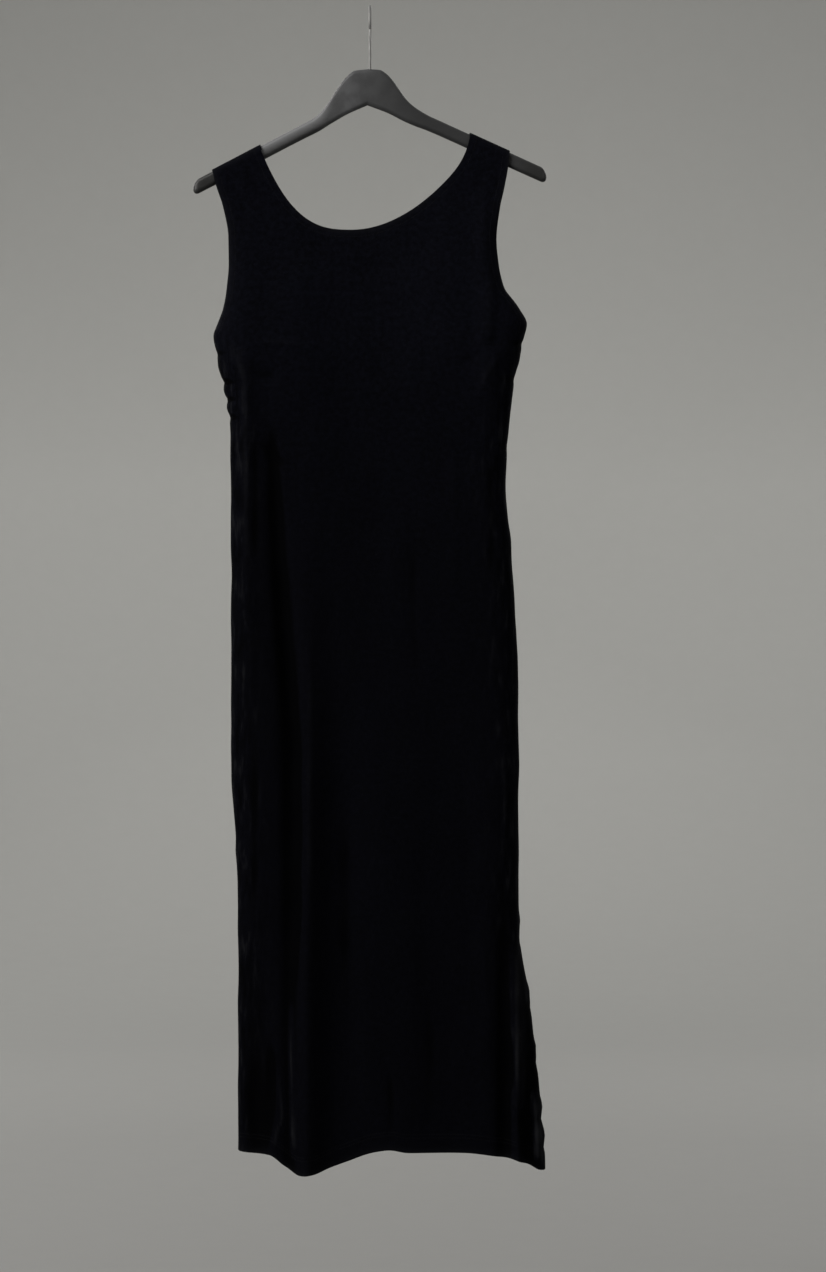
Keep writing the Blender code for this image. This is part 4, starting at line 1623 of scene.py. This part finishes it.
@dataclass
class Stitching:
    """Rows of stitches along the turned edges."""

    panel: Panel
    cloth: Piece
    inset: float = 0.0088  # of the neck's and the armholes' rows from their edges
    hem_insets: tuple[float, float] = (0.0185, 0.0230)
    neck_start: float = 0.006  # below the shoulder
    armhole_start: float = 0.010
    past_underarm: float = 0.004
    from_seam: float = 0.004
    neck_steps: int = 120
    armhole_steps: int = 90
    hem_steps: int = 220
    pitch: float = 0.0031
    length: float = 0.0025
    width: float = 0.0006
    height: float = 0.0005
    bead_sides: int = 6  # of a stitch's own shape
    bead_rings: int = 5
    askew: float = 5.0  # degrees by which a stitch may turn either way
    seed: int = 7
    clear_of_cloth: float = 0.5  # y from which the cloth's face is looked for

    def neck_line(self) -> Array:
        """Returns: (x, drop) points of the row beside the neckline."""
        edge, _ = self.panel.top_edge(self.neck_steps)
        neck = self.panel.neck
        edge = edge[(edge[:, 0] >= neck.left_x) & (edge[:, 0] <= neck.right_x)]
        along = unit(np.gradient(edge, axis=0))
        beside = edge + np.stack((-along[:, 1], along[:, 0]), 1) * self.inset
        clear = beside[:, 1] > self.panel.form.shoulder(beside[:, 0]) + self.neck_start
        return beside[clear]

    def armhole_line(self, side: Side) -> Array:
        """The row beside one armhole.

        Args:
            side: The armhole's side.

        Returns:
            Its (x, drop) points.
        """
        form = self.panel.form
        top = float(form.shoulder(self.panel.shoulder_tip(side))) + self.armhole_start
        drop = np.linspace(top, form.underarm + self.past_underarm, self.armhole_steps)
        return np.stack((form.edge(side)(drop) - side.value * self.inset, drop), 1)

    def hem_line(self, inset: float) -> Array:
        """A row above the hem.

        Args:
            inset: How far above the hem it runs.

        Returns:
            Its (x, drop) points.
        """
        left, right = (float(self.panel.form.edge(side)(self.panel.hem_level)) for side in Side)
        x = np.linspace(left + self.from_seam, right - self.from_seam, self.hem_steps)
        return np.stack((x, self.panel.hem_at(x) - inset), 1)

    def guide(self, lines: list[Array]) -> bpy.types.Mesh:
        """The lines on the cloth's face, with the direction outwards at each point.

        Args:
            lines: (x, drop) points of each line.

        Returns:
            A mesh of edges alone.
        """
        surface = BVHTree.FromObject(self.cloth, bpy.context.evaluated_depsgraph_get())
        inward = Vector((0.0, -self.panel.side, 0.0))
        places, outward, edges = [], [], []
        for line in lines:
            joined = False
            for x, drop in line:
                start = Vector((x, self.panel.side * self.clear_of_cloth, -drop))
                place, normal, _, _ = surface.ray_cast(start, inward)
                if place is None:
                    joined = False
                    continue
                if joined:
                    edges.append((len(places) - 1, len(places)))
                places.append(place)
                outward.append(normal)
                joined = True
        mesh = bpy.data.meshes.new(f"{self.panel.name}_stitch_lines")
        mesh.from_pydata(places, edges, [])
        field = mesh.attributes.new(name=OUTWARD, type="FLOAT_VECTOR", domain="POINT")
        field.data.foreach_set("vector", np.array(outward, dtype=np.float32).ravel())
        return mesh

    def maker(self) -> ShapeGraph:
        """Returns: the tree that sets a stitch at each pitch along the guide."""
        numbers = dict.fromkeys(("Pitch", "Length", "Width", "Height", "Unevenness"), "NodeSocketFloat")
        others = {"Seed": "NodeSocketInt", "Material": "NodeSocketMaterial"}
        graph = ShapeGraph("stitch_maker", {**numbers, **others})
        path = graph.node("GeometryNodeMeshToCurve", {"Mesh": graph.given("Guide")})
        spacing = {"Curve": path, "Length": graph.given("Pitch")}
        spaced = graph.node("GeometryNodeResampleCurve", spacing, mode="LENGTH")
        field = {"Name": OUTWARD}
        outward = graph.node("GeometryNodeInputNamedAttribute", field, data_type="FLOAT_VECTOR")
        align = "FunctionNodeAlignRotationToVector"
        upright = graph.node(align, {"Vector": outward}, axis="Z")
        ahead = {"Rotation": upright, "Vector": graph.node("GeometryNodeInputTangent")}
        along = graph.node(align, ahead, axis="X", pivot_axis="Z")
        spread = graph.given("Unevenness")
        limits = {2: spread * -1.0, 3: spread, "Seed": graph.given("Seed")}
        chance = graph.node("FunctionNodeRandomValue", limits, 1, data_type="FLOAT")
        askew = graph.node("ShaderNodeCombineXYZ", {"Z": chance})
        by = graph.node("FunctionNodeEulerToRotation", {0: askew})
        turn = {"Rotation": along, "Rotate By": by}
        turned = graph.node("FunctionNodeRotateRotation", turn, rotation_space="LOCAL")
        shape = {"Segments": self.bead_sides, "Rings": self.bead_rings, "Radius": 0.5}
        bead = graph.node("GeometryNodeMeshUVSphere", shape)
        axes = {"X": "Length", "Y": "Width", "Z": "Height"}
        sizes = {axis: graph.given(name) for axis, name in axes.items()}
        size = graph.node("ShaderNodeCombineXYZ", sizes)
        placed = {"Points": spaced, "Instance": bead, "Rotation": turned, "Scale": size}
        graph.close(graph.node("GeometryNodeInstanceOnPoints", placed))
        return graph

    def build(self, thread: Material) -> Piece:
        """Sews the panel.

        Args:
            thread: The stitches' material.

        Returns:
            All of its stitches as one mesh.
        """
        lines = [self.neck_line(), *(self.armhole_line(side) for side in Side)]
        lines += [self.hem_line(inset) for inset in self.hem_insets]
        values = {
            "Pitch": self.pitch,
            "Length": self.length,
            "Width": self.width,
            "Height": self.height,
            "Unevenness": math.radians(self.askew),
            "Seed": self.seed,
            "Material": thread,
        }
        return self.maker().run(f"{self.panel.name}_stitches", self.guide(lines), values)


@dataclass
class Dress:
    """The front, the back and their stitches."""

    form: DressForm

    def panels(self) -> list[Panel]:
        """Returns: the front and the back."""
        return [
            Panel(Facing.FRONT, self.form, FRONT_NECK, FRONT_HEM, FRONT_FOLDS, FRONT_CREASES),
            Panel(Facing.BACK, self.form, BACK_NECK, BACK_HEM, BACK_FOLDS, BACK_CREASES),
        ]

    def build(self, hung_on: Piece) -> list[Piece]:
        """Args:
            hung_on: The hanger's bar; not used.

        Returns:
            Its pieces.
        """
        crepe, thread = BlackCrepe().material(), BlackThread().material()
        pieces = []
        for panel in self.panels():
            cloth = panel.build(crepe)
            stitches = Stitching(panel, cloth).build(thread)
            for piece in (cloth, stitches):
                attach(piece, BODY)
            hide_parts(panel.name)
            pieces += [cloth, stitches]
        return pieces


# ---- studio ----


@dataclass(frozen=True)
class Softbox:
    """A square area light that faces the dress."""

    name: str
    place: tuple[float, float, float]
    size: float
    power: float
    colour: Colour = (1.0, 0.985, 0.96)

    def build(self, target: Vector) -> Piece:
        """Hangs the light.

        Args:
            target: Where it aims.

        Returns:
            The lamp.
        """
        lamp = bpy.data.lights.new(self.name, "AREA")
        lamp.shape = "SQUARE"
        lamp.size = self.size
        lamp.energy = self.power
        lamp.color = self.colour
        holder = bpy.data.objects.new(self.name, lamp)
        holder.location = self.place
        holder.rotation_euler = (target - Vector(self.place)).to_track_quat("-Z", "Y").to_euler()
        holder.visible_camera = False
        bpy.context.scene.collection.objects.link(holder)
        return holder


@dataclass
class Studio:
    """A round seamless backdrop, soft lights and the camera."""

    floor: float = -1.86
    flat_radius: float = 5.0
    cove_radius: float = 4.0
    wall_top: float = 8.0
    hub: float = 0.4  # radius of the floor's middle piece
    floor_rings: int = 11
    cove_rings: int = 25
    wall_rings: int = 6
    steps: int = 128
    sky: Colour = (0.62, 0.62, 0.60)
    distance: float = 4.6  # from the camera to the hanger's middle plane
    centre: Point = (0.0559, -0.8164)  # x and z at the middle of the view
    shown_height: float = 1.6536  # at the dress
    sensor: float = 36.0  # millimetres along the view's height
    softboxes: tuple[Softbox, ...] = (
        Softbox("key", (-3.4, -2.4, 1.3), 2.8, 270.0),
        Softbox("window", (-1.7, -1.7, 2.6), 1.0, 40.0),
        Softbox("fill", (3.2, -3.6, 0.2), 3.0, 40.0),
        Softbox("rear_left", (-3.2, 3.8, 1.4), 2.6, 110.0),
        Softbox("rear_right", (3.4, 3.4, 1.4), 2.6, 110.0),
    )

    def backdrop(self) -> Piece:
        """Returns: the floor that curves up into a wall all round."""
        angles = np.radians(np.linspace(0.0, 90.0, self.cove_rings))
        cove_r = self.flat_radius + self.cove_radius * np.sin(angles)
        cove_z = self.floor + self.cove_radius * (1 - np.cos(angles))
        floor_r = np.linspace(self.hub, self.flat_radius, self.floor_rings + 1)[:-1]
        wall_z = np.linspace(cove_z[-1], self.wall_top, self.wall_rings + 1)[1:]
        radius = np.concatenate((floor_r, cove_r, np.full(self.wall_rings, cove_r[-1])))
        level = np.concatenate((np.full(self.floor_rings, self.floor), cove_z, wall_z))
        profile = np.stack((radius, level), 1)
        turn = 2 * math.pi * np.arange(self.steps) / self.steps
        x = profile[:, :1] * np.cos(turn)
        y = profile[:, :1] * np.sin(turn)
        z = np.broadcast_to(profile[:, 1:], x.shape)
        points = np.vstack((np.stack((x, y, z), -1).reshape(-1, 3), [(0.0, 0.0, self.floor)]))
        run = self.hub + running_sum(step_lengths(profile))
        layout = np.stack((np.tile(turn, len(profile)), np.repeat(run, self.steps)), 1)
        layout = np.vstack((layout, [(0.0, 0.0)]))
        faces = [face[::-1] for face in ring_faces(len(profile), self.steps)]
        centre = len(points) - 1
        faces += [(centre, k, (k + 1) % self.steps) for k in range(self.steps)]
        return make_object("backdrop", points, faces, PaperBackdrop().material(), layout)

    def camera(self) -> Piece:
        """Returns: the camera, level and square to the dress."""
        lens = bpy.data.cameras.new("camera")
        lens.sensor_width = self.sensor
        lens.lens = self.sensor * self.distance / self.shown_height
        holder = bpy.data.objects.new("camera", lens)
        holder.location = (self.centre[0], -self.distance, self.centre[1])
        holder.rotation_euler = (math.radians(90.0), 0.0, 0.0)
        bpy.context.scene.collection.objects.link(holder)
        return holder

    def build(self) -> None:
        """Sets up the studio round the dress."""
        self.backdrop()
        target = Vector((self.centre[0], 0.0, self.centre[1]))
        for softbox in self.softboxes:
            softbox.build(target)
        world = bpy.data.worlds.new("sky")
        world.use_nodes = True
        world.node_tree.nodes["Background"].inputs["Color"].default_value = (*self.sky, 1.0)
        scene = bpy.context.scene
        scene.world = world
        scene.camera = self.camera()
        scene.view_settings.view_transform = "Standard"


def main() -> None:
    """Builds the hanger, the dress and the studio."""
    logging.basicConfig(level=logging.INFO, format="%(message)s")
    hanger = Hanger()
    pieces = hanger.build()
    pieces += Dress(DressForm(hanger)).build(pieces[0])
    for piece in pieces:
        LOG.info("%s: %d faces", piece.name, len(piece.data.polygons))
    Studio().build()


if __name__ == "__main__":
    main()
